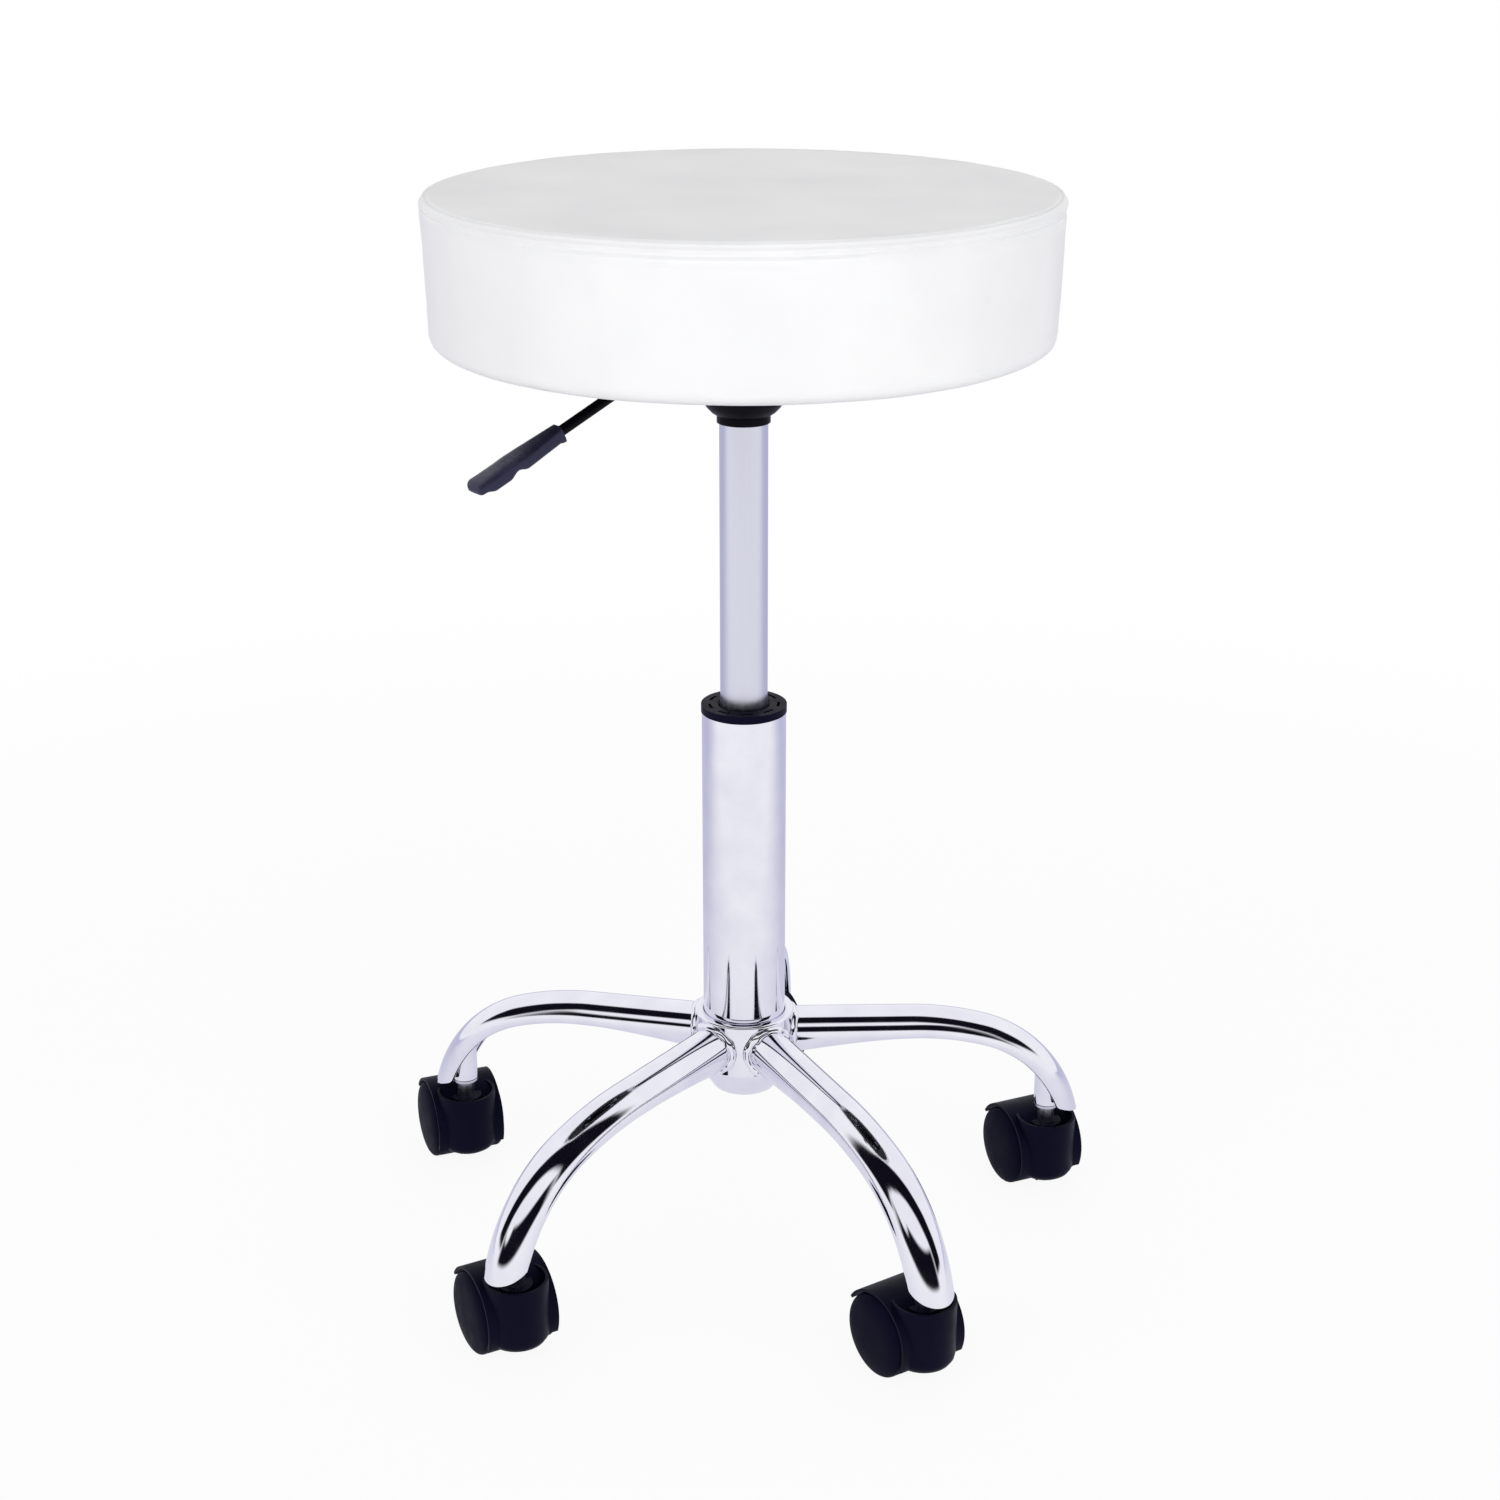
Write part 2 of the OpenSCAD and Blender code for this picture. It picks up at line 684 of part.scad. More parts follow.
module column_tube() {
    color(chrome) difference() {
        translate([0, 0, column_z]) cylinder(r = column_r, h = column_len);
        translate([0, 0, column_z + column_floor_t]) cylinder(r = bush_out_r, h = column_len);
        translate([0, 0, column_z - cut]) cylinder(r = rod_neck_r + run_fit, h = column_floor_t + 2 * cut);
    }
}

module guide_bush() {
    flange_r = column_r + bush_flange_out;
    slot_r = bush_out_r - bush_slot_in - bush_slot_w / 2;
    slot_angle = 360 / bush_slots * bush_slot_share;
    color(black_plastic) translate([0, 0, column_top_z]) difference() {
        union() {
            translate([0, 0, -bush_len]) cylinder(r = bush_out_r, h = bush_len);
            cylinder(r = flange_r, h = bush_flange_h);
        }
        translate([0, 0, -bush_len - cut])
            cylinder(r = bush_bore_r, h = bush_len + bush_flange_h + 2 * cut);
        translate([0, 0, bush_flange_h - bush_chamfer])
            cylinder(r1 = bush_bore_r, r2 = bush_bore_r + bush_chamfer, h = bush_chamfer);
        translate([0, 0, -bush_len - cut]) difference() {
            cylinder(r = bush_out_r - bush_skin, h = bush_len + cut);
            cylinder(r = bush_bore_r + bush_core_wall, h = bush_len + cut);
        }
        for (i = [0 : bush_slots - 1])
            rotate(360 / bush_slots * i) translate([0, 0, -cut])
                rotate_extrude(start = -slot_angle / 2, angle = slot_angle)
                    translate([slot_r - bush_slot_w / 2, 0])
                        square([bush_slot_w, bush_flange_h + 2 * cut]);
    }
}

module base_hub() {
    hub_h = hub_top_z - hub_bottom_z;
    color(chrome) difference() {
        translate([0, 0, hub_bottom_z]) rotate_extrude()
            polygon([[0, 0], [hub_foot_r, 0], [hub_r, hub_foot_h], [hub_r, hub_h], [0, hub_h]]);
        translate([0, 0, column_z]) cylinder(r = hub_bore_r, h = hub_top_z - column_z + cut);
        translate([0, 0, hub_bottom_z - cut]) cylinder(r = well_r, h = hub_floor_t + 2 * cut);
    }
}

// The leg's centre line in its own vertical plane: straight, long bow, tight bend
function leg_slope(s) = s < straight_len ? straight_slope
    : s < straight_len + bow_len ? straight_slope + (s - straight_len) / bow_r * mm_deg
    : bow_slope + (s - straight_len - bow_len) / bend_r * mm_deg;
function leg_point(s) = let (a = leg_slope(s))
    s < straight_len ? [s * cos(a), axis_z - s * sin(a)]
    : s < straight_len + bow_len
        ? bow_start + bow_r * [sin(a) - sin(straight_slope), cos(a) - cos(straight_slope)]
    : bend_start + bend_r * [sin(a) - sin(bow_slope), cos(a) - cos(bow_slope)];
// How far the underside is pressed in at a distance r: 0 is a round tube, 1 a folded channel
function press_at(r) = max(0, min(1, (r - press_from_r) / (press_full_r - press_from_r)));

// One point of the section at side k, as [sideways, up]. The upper half stays a half circle, and
// the lower half moves from its own half circle to one folded up against the upper half.
half_ring = ring_sides / 2;
function lower_angle(k, lift) = 180 + lift
    + (180 - 2 * lift) * (k - half_ring - 1) / (half_ring - 2);
function ring_point(k, press, top_r, fold_r, lift) = let (a = 360 * k / ring_sides)
    k <= half_ring
        ? let (b = 90 + (a - 90) * (1 - press * lift / 90)) top_r * [cos(b), sin(b)]
        : let (b = lower_angle(k, lift))
            (1 - press) * top_r * [cos(a), sin(a)] + press * fold_r * [cos(b), -sin(b)];
function outer_point(k, press) = ring_point(k, press, leg_r, channel_r, 0);
function inner_point(k, press) = ring_point(k, press, leg_r - leg_wall, channel_r + leg_wall,
    asin(leg_wall / (channel_r + leg_wall)));

// Rings of the leg: the root is cut by the hub, and the end is cut slanting
function root_place(p) = let (
    r = sqrt(pow(hub_r + weld_gap, 2) - pow(p[0], 2)),
    s = (r - p[1] * sin(straight_slope)) / cos(straight_slope))
    [r, p[0], axis_z - s * sin(straight_slope) + p[1] * cos(straight_slope)];
function leg_place(s, p, shift) = let (a = leg_slope(s), c = leg_point(s))
    [c[0] + p[1] * sin(a) + shift * cos(a), p[0], c[1] + p[1] * cos(a) - shift * sin(a)];
function end_shift(p) = p[1] * tan(end_cut_angle) - end_set_back;
function leg_ring(i, inner) = [for (k = [0 : ring_sides - 1]) let (
        s = i == 0 ? 0 : press_from_r + (path_len - press_from_r) * (i - 1) / leg_steps,
        press = i == 0 ? 0 : press_at(leg_point(s)[0]),
        p = inner ? inner_point(k, press) : outer_point(k, press))
    i == 0 ? root_place(p) : leg_place(s, p, i == leg_steps + 1 ? end_shift(p) : 0)];

module leg(i) {
    rings = leg_steps + 2;
    n = ring_sides;
    points = [for (j = [0 : rings - 1]) each concat(leg_ring(j, false), leg_ring(j, true))];
    sides = [for (j = [0 : rings - 2], k = [0 : n - 1]) let (
            a = 2 * n * j, b = 2 * n * (j + 1), q = (k + 1) % n)
        each [[a + k, b + q, b + k], [a + k, a + q, b + q],
              [a + n + k, b + n + k, b + n + q], [a + n + k, b + n + q, a + n + q]]];
    caps = [for (k = [0 : n - 1]) let (q = (k + 1) % n, b = 2 * n * (rings - 1))
        each [[k, k + n, q + n], [k, q + n, q],
              [b + k, b + q + n, b + k + n], [b + k, b + q, b + q + n]]];
    color(chrome) rotate(leg_angles[i]) polyhedron(points, concat(sides, caps));
}

// What fits under the folded roof of a leg's end: the inside of the bend and a round bar along it
module under_roof() {
    translate([bend_centre[0], 0, bend_centre[1]]) rotate([90, 0, 0]) {
        cylinder(r = bend_r, h = 4 * socket_r, center = true);
        rotate_extrude() translate([bend_r, 0]) circle(r = channel_r - roof_gap);
    }
}

module stem_sockets() {
    color(chrome)
        for (angle = leg_angles)
            rotate(angle) difference() {
                intersection() {
                    translate([castor_circle_r, 0, socket_z]) cylinder(r = socket_r, h = bend_r);
                    under_roof();
                }
                translate([castor_circle_r, 0, socket_z - cut])
                    cylinder(r = sleeve_r, h = bend_r + 2 * cut);
            }
}

module stem_sleeves() {
    color(nylon)
        for (angle = leg_angles)
            rotate(angle) translate([castor_circle_r, 0, socket_z]) difference() {
                cylinder(r = sleeve_r, h = sleeve_len);
                translate([0, 0, -cut]) cylinder(r = sleeve_bore_r, h = sleeve_len + 2 * cut);
            }
}

// Frame of a castor: its Z is the swivel axis, and its X runs back from there to the axle
module in_castor(i) {
    rotate(leg_angles[i]) translate([castor_circle_r, 0, 0])
        rotate(castor_yaw[i] - leg_angles[i]) children();
}

// A bar along the axle, from one place across the castor to another
module across(r, from_y, to_y) {
    translate([trail, from_y, axle_z]) rotate([-90, 0, 0]) cylinder(r = r, h = to_y - from_y);
}

// The boss's foot is rounded from its flat bottom up to its side
function boss_foot_points() = [for (k = [0 : boss_foot_steps]) let (a = 90 * k / boss_foot_steps)
    [boss_r - boss_foot_round * (1 - sin(a)), boss_foot_round * (1 - cos(a))]];

module castor_hood(i) {
    boss_h = boss_rim_z - boss_foot_z;
    color(black_plastic) in_castor(i) difference() {
        union() {
            translate([0, 0, boss_foot_z]) rotate_extrude() polygon(concat([[0, 0]],
                boss_foot_points(), [[boss_r, boss_h], [0, boss_h]]));
            difference() {
                across(hood_r, -hood_w / 2, hood_w / 2);
                translate([trail, 0, axle_z + skirt_lift]) rotate([0, -skirt_tilt, 0])
                    translate([-2 * hood_r, -hood_w, -2 * hood_r])
                        cube([4 * hood_r, 2 * hood_w, 2 * hood_r]);
            }
            difference() {
                across(hood_r, -web_half, web_half);
                translate([trail - hood_r - cut, -web_half - cut, axle_z - hood_r - cut])
                    cube([2 * (hood_r + cut), 2 * (web_half + cut), web_floor_gap - axle_z + hood_r + cut]);
            }
        }
        across(wheel_r + wheel_gap, web_half, wheel_out + cut);
        across(wheel_r + wheel_gap, -wheel_out - cut, -web_half);
        cup();
        translate([0, 0, axle_z]) cylinder(r = stem_r, h = boss_rim_z);
        across(axle_r, -axle_half, axle_half);
    }
}

// The open cup in the boss: it leaves the hood's roof, the core round the stem and the ribs
module cup() {
    cup_r = boss_r - boss_wall;
    difference() {
        translate([0, 0, cup_floor_z]) cylinder(r = cup_r, h = boss_rim_z - cup_floor_z + cut);
        across(hood_r, -boss_r - cut, boss_r + cut);
        translate([0, 0, cup_floor_z - cut])
            cylinder(r = core_r, h = boss_rim_z - core_drop - cup_floor_z + cut);
        for (k = [0 : rib_count - 1])
            rotate(360 / rib_count * (k + 1 / 2)) translate([0, -rib_t / 2, cup_floor_z - cut])
                cube([boss_r, rib_t, boss_rim_z - rib_drop - cup_floor_z + cut]);
    }
}

module castor_stem(i) {
    collar_z = socket_z - collar_gap - collar_h;
    color(steel) in_castor(i) {
        translate([0, 0, axle_z]) cylinder(r = stem_r, h = stem_top_z - axle_z);
        translate([0, 0, collar_z]) cylinder(r = collar_r, h = collar_h);
    }
}

module castor_axle(i) {
    color(steel) in_castor(i) across(axle_r, -axle_half, axle_half);
}

// Half section of a wheel as [radius, place across]: a flat tread, then a dome that covers the end
function dome_point(share) = [
    wheel_r * pow(cos(90 * share), dome_power_share),
    tread_out + (wheel_out - tread_out) * pow(sin(90 * share), dome_power_share)];
module wheel_section() {
    polygon(concat(
        [[0, wheel_in], [wheel_r - wheel_edge_r, wheel_in], [wheel_r, wheel_in + wheel_edge_r]],
        [for (k = [0 : dome_steps - 1]) dome_point(k / dome_steps)], [[0, wheel_out]]));
}

module wheel(i, side) {
    color(black_plastic) in_castor(i) translate([trail, 0, axle_z]) rotate([-90 * side, 0, 0])
        difference() {
            rotate_extrude() wheel_section();
            translate([0, 0, wheel_in - cut]) difference() {
                cylinder(r = wheel_r - wheel_rim_t, h = tread_out - wheel_web_t - wheel_in + cut);
                cylinder(r = wheel_hub_r, h = tread_out - wheel_web_t - wheel_in + cut);
            }
            cylinder(r = axle_r + run_fit, h = axle_half + touch_gap);
        }
}

seat_cover();
foam_pad();
seat_board();
t_nuts();
plate_bolts();
dust_cover();
staples();
seat_plate();
taper_socket();
lever_pivot_pin();
lever_rod();
lever_grip();
gas_cylinder();
cylinder_gland();
release_pin();
piston_rod();
piston();
bump_stop();
washer(upper_washer_z, rod_neck_r);  // bearing_upper_washer
bearing_balls();
washer(column_z + column_floor_t, rod_neck_r + run_fit);  // bearing_lower_washer
retaining_clip();
column_tube();
guide_bush();
base_hub();
stem_sockets();
stem_sleeves();
for (i = [0 : len(places) - 1]) {
    leg(i);
    castor_hood(i);
    castor_stem(i);
    castor_axle(i);
    wheel(i, 1);
    wheel(i, -1);
}
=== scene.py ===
# %% [markdown]
# # A work stool, dressed in its real finishes
# The frame below holds every part at its real size and place. This lesson adds what the eye
# meets first: a sewn vinyl cover over foam, chromed tube, a satin gas lift and moulded castors.

# %% Load the frame
import json
import math

import bmesh
import bpy
import numpy as np
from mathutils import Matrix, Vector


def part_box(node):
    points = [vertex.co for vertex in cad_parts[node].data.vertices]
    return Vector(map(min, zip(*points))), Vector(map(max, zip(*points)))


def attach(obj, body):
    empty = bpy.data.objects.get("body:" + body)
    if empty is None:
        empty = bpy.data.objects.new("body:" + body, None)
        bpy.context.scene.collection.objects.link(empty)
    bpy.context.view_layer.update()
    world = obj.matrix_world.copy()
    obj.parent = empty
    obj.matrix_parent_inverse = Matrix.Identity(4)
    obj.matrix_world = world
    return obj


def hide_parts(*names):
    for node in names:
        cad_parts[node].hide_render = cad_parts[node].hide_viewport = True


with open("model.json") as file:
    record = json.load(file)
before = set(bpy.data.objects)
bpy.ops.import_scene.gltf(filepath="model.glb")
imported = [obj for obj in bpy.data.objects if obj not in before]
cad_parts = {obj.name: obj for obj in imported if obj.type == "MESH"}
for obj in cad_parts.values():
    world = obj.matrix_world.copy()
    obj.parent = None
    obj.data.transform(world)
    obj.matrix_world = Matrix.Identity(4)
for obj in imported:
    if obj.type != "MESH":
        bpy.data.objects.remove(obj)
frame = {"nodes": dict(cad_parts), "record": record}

bpy.context.view_layer.update()
MM = 0.001

# %% [markdown]
# ## Camera
# The photograph was taken from standing height with a short telephoto lens. Its place was solved
# from the column, the legs and the outline of the seat, so the picture and the render line up.
# It is made first, because everything else is judged through it.

# %% Set up the camera
CAMERA_PLACE = (0.1316, -1.4217, 0.8551)
CAMERA_AZIMUTH = 95.145
CAMERA_DOWN = 20.546
LENS_MM = 61.52

camera_data = bpy.data.cameras.new("camera")
camera_data.sensor_fit = "HORIZONTAL"
camera_data.sensor_width = 36
camera_data.lens = LENS_MM
camera = bpy.data.objects.new("camera", camera_data)
camera.location = CAMERA_PLACE
camera.rotation_euler = (math.radians(90 - CAMERA_DOWN), 0, math.radians(CAMERA_AZIMUTH - 90))
bpy.context.scene.collection.objects.link(camera)
bpy.context.scene.camera = camera
print("camera: %.0f mm lens, %.2f m above the floor" % (LENS_MM, CAMERA_PLACE[2]))

# %% [markdown]
# ## Surfaces from arrays
# A shape here is a grid of points: rows run along it and columns run round it. numpy works out all
# the points at once, and one function turns any such grid into a mesh. A row whose points all fall
# together is welded to a pole, which closes that end.


# %% Turn a grid into a mesh
def placed(name, data):
    """A new object of the scene, made of this data."""
    made = bpy.data.objects.new(name, data)
    bpy.context.scene.collection.objects.link(made)
    return made


def grid_faces(rows, cols, closed_rows=False):
    """Four corners of each cell: a point, its neighbour round the row, and the two on the next row."""
    i, j = np.meshgrid(np.arange(rows if closed_rows else rows - 1), np.arange(cols), indexing="ij")
    i, j = i.ravel(), j.ravel()
    next_i, next_j = (i + 1) % rows, (j + 1) % cols
    return np.stack([i * cols + j, i * cols + next_j, next_i * cols + next_j, next_i * cols + j], axis=1)


def piece_of(name, points, faces, material, body, sharp=35, weld=1e-7, flat=None):
    """A mesh piece: welded, faces turned outwards, and faces that meet flatter than `flat` joined."""
    mesh = bpy.data.meshes.new(name)
    mesh.from_pydata(np.asarray(points).tolist(), [], faces)
    work = bmesh.new()
    work.from_mesh(mesh)
    bmesh.ops.remove_doubles(work, verts=work.verts, dist=weld)
    bmesh.ops.recalc_face_normals(work, faces=work.faces)
    if flat is not None:
        bmesh.ops.dissolve_limit(work, angle_limit=math.radians(flat), verts=work.verts, edges=work.edges)
    work.to_mesh(mesh)
    work.free()
    mesh.shade_smooth()
    mesh.set_sharp_from_angle(angle=math.radians(sharp))
    mesh.materials.append(material)
    piece = placed(name, mesh)
    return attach(piece, body)


def surface(name, grid, material, body, closed_rows=False, sharp=35):
    """A mesh from a (rows, columns, 3) grid. A row whose points all coincide becomes a pole."""
    faces = grid_faces(grid.shape[0], grid.shape[1], closed_rows).tolist()
    return piece_of(name, grid.reshape(-1, 3), faces, material, body, sharp)


def capped(grid, last=True):
    """The grid with its first and last rows drawn in to their middles, which closes those ends."""
    rows = [np.broadcast_to(grid[0].mean(axis=0), grid[:1].shape), grid]
    if last:
        rows.append(np.broadcast_to(grid[-1].mean(axis=0), grid[:1].shape))
    return np.concatenate(rows)


def soften(corners, radius, steps=4):
    """Rounds a profile's inner corners: each becomes a curve pulled towards the corner from both sides."""
    corners = np.asarray(corners, float)
    out = [corners[:1]]
    share = np.linspace(0, 1, steps + 1)[:, None]
    for before, at, after in zip(corners[:-2], corners[1:-1], corners[2:]):
        reach = [min(radius, np.linalg.norm(side - at) / 2.01) for side in (before, after)]
        start = at + (before - at) / np.linalg.norm(before - at) * reach[0]
        end = at + (after - at) / np.linalg.norm(after - at) * reach[1]
        out.append((1 - share) ** 2 * start + 2 * share * (1 - share) * at + share ** 2 * end)
    return np.concatenate(out + [corners[-1:]])


def full_turn(count):
    """Angles spread evenly round a circle."""
    return np.linspace(0, 2 * np.pi, count, endpoint=False)


def on_circle(angle):
    """Points at these angles on a circle of radius one."""
    return np.stack([np.cos(angle), np.sin(angle)], axis=1)


def unit(vectors):
    """The same directions at length one."""
    return vectors / np.maximum(np.linalg.norm(vectors, axis=-1, keepdims=True), 1e-12)


def turned(profile, around):
    """A profile of (radius, height) carried round the Z axis."""
    angle = full_turn(around)
    r, z = profile[:, 0, None], profile[:, 1, None]
    return np.stack([r * np.cos(angle), r * np.sin(angle), z + 0 * angle], axis=2)


def along_path(path, up, ring):
    """Rings of (sideways, up) points set square to a path: sideways is the cross of up and forwards."""
    forward = unit(np.gradient(path, axis=0))
    side = unit(np.cross(up, forward))
    lift = np.cross(forward, side)
    return path[:, None] + side[:, None] * ring[..., :1] + lift[:, None] * ring[..., 1:]


def circle(radius, count):
    """Points of a circle as (sideways, up)."""
    return radius * on_circle(full_turn(count))


print("helpers: placed, piece_of, surface, capped, soften, unit, turned, along_path, circle")

# %% [markdown]
# ## Materials
# Each finish starts from what the real one is and how its surface was made. Patterns read object
# coordinates in metres, so a scale is one divided by a real size. Small helpers do the repeated work,
# such as turning a hex colour to linear light and adding a node with its settings and links.


# %% Colour and node helpers
def linear(hex_colour):
    """sRGB hex to linear light: the standard curve, with its straight foot."""
    parts = [int(hex_colour[k:k + 2], 16) / 255 for k in (1, 3, 5)]
    return [c / 12.92 if c <= 0.04045 else ((c + 0.055) / 1.055) ** 2.4 for c in parts] + [1.0]


def add(tree, kind, props=None, **inputs):
    """One node: props are its own settings, and inputs are values or sockets, named as its sockets."""
    made = tree.nodes.new(kind)
    for name, value in (props or {}).items():
        setattr(made, name, value)
    for name, value in inputs.items():
        key = int(name[1:]) if name[1:].isdigit() else name.replace("_", " ")
        if isinstance(value, bpy.types.NodeSocket):
            tree.links.new(value, made.inputs[key])
        else:
            made.inputs[key].default_value = value
    return made


def base_material(name, colour, roughness, metallic=0.0):
    """A material with its shader, and object coordinates to draw patterns on."""
    material = bpy.data.materials.new(name)
    material.use_nodes = True
    tree = material.node_tree
    shader = tree.nodes["Principled BSDF"]
    shader.inputs["Base Color"].default_value = linear(colour)
    shader.inputs["Roughness"].default_value = roughness
    shader.inputs["Metallic"].default_value = metallic
    return material, tree, shader, add(tree, "ShaderNodeTexCoord").outputs["Object"]


def noise(tree, coords, size, detail=2.0, stretch=(1, 1, 1)):
    """Noise whose lumps are about `size` metres across, drawn out along an axis by its stretch."""
    if stretch != (1, 1, 1):
        coords = add(tree, "ShaderNodeMapping", Vector=coords, Scale=[1 / s for s in stretch]).outputs[0]
    return add(tree, "ShaderNodeTexNoise", Vector=coords, Scale=1 / size, Detail=detail).outputs["Fac"]


def between(tree, factor, low, high):
    """A number that goes from low to high as the noise goes from dark to light."""
    return add(tree, "ShaderNodeMapRange", Value=factor, From_Min=0.3, From_Max=0.7, To_Min=low,
               To_Max=high).outputs[0]


def tinted(tree, factor, first, second):
    """A colour mixed between two hex colours."""
    return add(tree, "ShaderNodeMix", {"data_type": "RGBA"}, _0=factor, _6=linear(first),
               _7=linear(second)).outputs[2]


def patterned(tree, shader, factor, first, second, rough=None):
    """The finish's colour follows a pattern, and its roughness too where two values are given."""
    tree.links.new(tinted(tree, factor, first, second), shader.inputs["Base Color"])
    if rough:
        tree.links.new(between(tree, factor, *rough), shader.inputs["Roughness"])


def bumped(tree, shader, height, depth, strength=1.0):
    """A bump of that many metres between the height's dark and light."""
    made = add(tree, "ShaderNodeBump", Height=height, Distance=depth, Strength=strength)
    tree.links.new(made.outputs["Normal"], shader.inputs["Normal"])


def ramp(tree, value, start, end, low=0.0, high=1.0):
    """A number that goes from low to high in a soft step, as the value goes from start to end."""
    return add(tree, "ShaderNodeMapRange", {"interpolation_type": "SMOOTHSTEP"}, Value=value,
               From_Min=start, From_Max=end, To_Min=low, To_Max=high).outputs[0]


def maths(tree, operation, first, second):
    """Two numbers combined."""
    return add(tree, "ShaderNodeMath", {"operation": operation}, _0=first, _1=second).outputs[0]


print("helpers: linear, add, base_material, noise, between, tinted, patterned, bumped, ramp, maths")

# %% [markdown]
# The seat is upholstery vinyl: PVC cast on a knitted back and embossed with a fine leather grain.
# That gives a soft broad sheen, and a grain that only shows where light grazes it. The real grain
# is about 0.6 mm across, less than the camera can see, so it is drawn at 1.6 mm.

# %% Upholstery vinyl
GRAIN = 1.6 * MM
HANDLING = 60 * MM


def upholstery_vinyl():
    material, tree, shader, coords = base_material("upholstery_vinyl", "#f3f3f4", 0.42)
    cells = add(tree, "ShaderNodeTexVoronoi", {"feature": "SMOOTH_F1"}, Vector=coords, Scale=1 / GRAIN,
                Smoothness=0.6, Randomness=1.0).outputs["Distance"]
    cloud = noise(tree, coords, HANDLING, 3.0)
    patterned(tree, shader, cloud, "#f6f6f7", "#ededef", (0.36, 0.5))
    bumped(tree, shader, cells, 0.05 * MM, 0.5)
    return material


vinyl = upholstery_vinyl()
print("vinyl: grain %.1f mm" % (GRAIN / MM))

# %% [markdown]
# The column, hub and legs are steel tube with bright chrome plate. Chrome is all reflection: it shows
# the white studio, the dark room behind the camera and the floor, with a cool lilac cast. Plating is
# never dead flat, so a long soft wave bends the reflections, and polishing haze clouds them a little.

# %% Chrome plate
WAVE = 45 * MM
HAZE = 18 * MM


def chrome_plate():
    material, tree, shader, coords = base_material("chrome_plate", "#e3e2ee", 0.05, 1.0)
    haze = noise(tree, coords, HAZE, 4.0)
    patterned(tree, shader, haze, "#dcdbea", "#f3f3f9", (0.03, 0.09))
    bumped(tree, shader, noise(tree, coords, WAVE, 1.0), 0.12 * MM, 0.6)
    return material


chrome = chrome_plate()
print("chrome: wave %.0f mm, haze %.0f mm" % (WAVE / MM, HAZE / MM))

# %% [markdown]
# The gas tube is ground and drawn steel: satin, with hair-fine marks that run lengthwise and spread
# its highlights into two soft upright bars. The real marks are too fine to show, so they are drawn
# 1.2 mm wide and very faint. The pins, bolts and washers share this finish.

# %% Satin steel
MARK = 1.2 * MM


def satin_steel():
    material, tree, shader, coords = base_material("satin_steel", "#d6d7e6", 0.3, 1.0)
    marks = noise(tree, coords, MARK, 2.0, (1, 1, 60))
    patterned(tree, shader, marks, "#d6d7e7", "#e0e1ec", (0.27, 0.34))
    return material


satin = satin_steel()
print("steel: marks %.1f mm" % (MARK / MM))

# %% [markdown]
# The plate, the bell socket and the lever are powder coated: black polyester melted on in the oven.
# It levels into a fine orange peel about 1.5 mm across, with a low sheen. A matt powder has fillers
# that break up its surface, so it mirrors less than bare plastic would.

# %% Powder coat
PEEL = 1.5 * MM
COAT_PATCH = 12 * MM
COAT_GLOSS = 0.06


def powder_coat():
    material, tree, shader, coords = base_material("powder_coat", "#09080e", 0.36)
    shader.inputs["Specular IOR Level"].default_value = COAT_GLOSS
    peel = noise(tree, coords, PEEL, 1.0)
    tree.links.new(between(tree, noise(tree, coords, COAT_PATCH), 0.3, 0.42), shader.inputs["Roughness"])
    bumped(tree, shader, peel, 0.05 * MM, 0.6)
    return material


coat = powder_coat()
print("powder coat: peel %.1f mm" % (PEEL / MM))

# %% [markdown]
# Castors, grip and bush are moulded glass-filled nylon, near black with a blue-violet cast. The mould
# was spark eroded, which leaves a fine even texture that mirrors little of the white room, and wheels
# scuff lighter where they roll.

# %% Moulded nylon
TEXTURE = 0.9 * MM
SCUFF = 9 * MM
VIOLET_SHEEN = "#c9c8ff"


def moulded_nylon(name, colour, scuffed, roughness, gloss=0.5, sheen="#ffffff"):
    """Moulded plastic: gloss is how much it mirrors, and sheen is the colour of what it mirrors."""
    material, tree, shader, coords = base_material(name, colour, roughness)
    shader.inputs["Specular IOR Level"].default_value = gloss
    shader.inputs["Specular Tint"].default_value = linear(sheen)
    patches = noise(tree, coords, SCUFF, 4.0)
    patterned(tree, shader, patches, colour, scuffed, (roughness - 0.06, roughness + 0.08))
    bumped(tree, shader, noise(tree, coords, TEXTURE, 1.0), 0.03 * MM, 0.5)
    return material


black_nylon = moulded_nylon("moulded_black_nylon", "#09091a", "#0f0f22", 0.42, 0.05, VIOLET_SHEEN)
tread_nylon = moulded_nylon("rolled_black_nylon", "#08091a", "#0e0f22", 0.5, 0.03, VIOLET_SHEEN)
# The grip is the same black nylon with its colour raised: painted light, standing in for its lit top face.
grip_nylon = moulded_nylon("lit_black_nylon", "#1b1b2c", "#262639", 0.35, 0.5, VIOLET_SHEEN)
natural_nylon = moulded_nylon("natural_nylon", "#d9d8cf", "#cfcdc2", 0.45)
rubber = moulded_nylon("bump_rubber", "#101012", "#19191b", 0.75)
print("nylon: texture %.1f mm" % (TEXTURE / MM))

# %% [markdown]
# Three finishes are met only from below or inside. The board is birch plywood, with grain drawn out
# across it. The dust cover is spun-bonded polypropylene, whose bonding points make a fine grid. The
# pad is open-cell foam.

# %% Plywood, dust cover and foam
GRAIN_WIDTH = 1.2 * MM
BOND_PITCH = 2.0 * MM
FIBRE = 0.7 * MM
CELL = 0.8 * MM


def birch_plywood():
    material, tree, shader, coords = base_material("birch_plywood", "#caa878", 0.6)
    grain = noise(tree, coords, GRAIN_WIDTH, 3.0, (40, 1, 1))
    patterned(tree, shader, grain, "#b88f5e", "#d9bd8f")
    bumped(tree, shader, grain, 0.1 * MM)
    return material


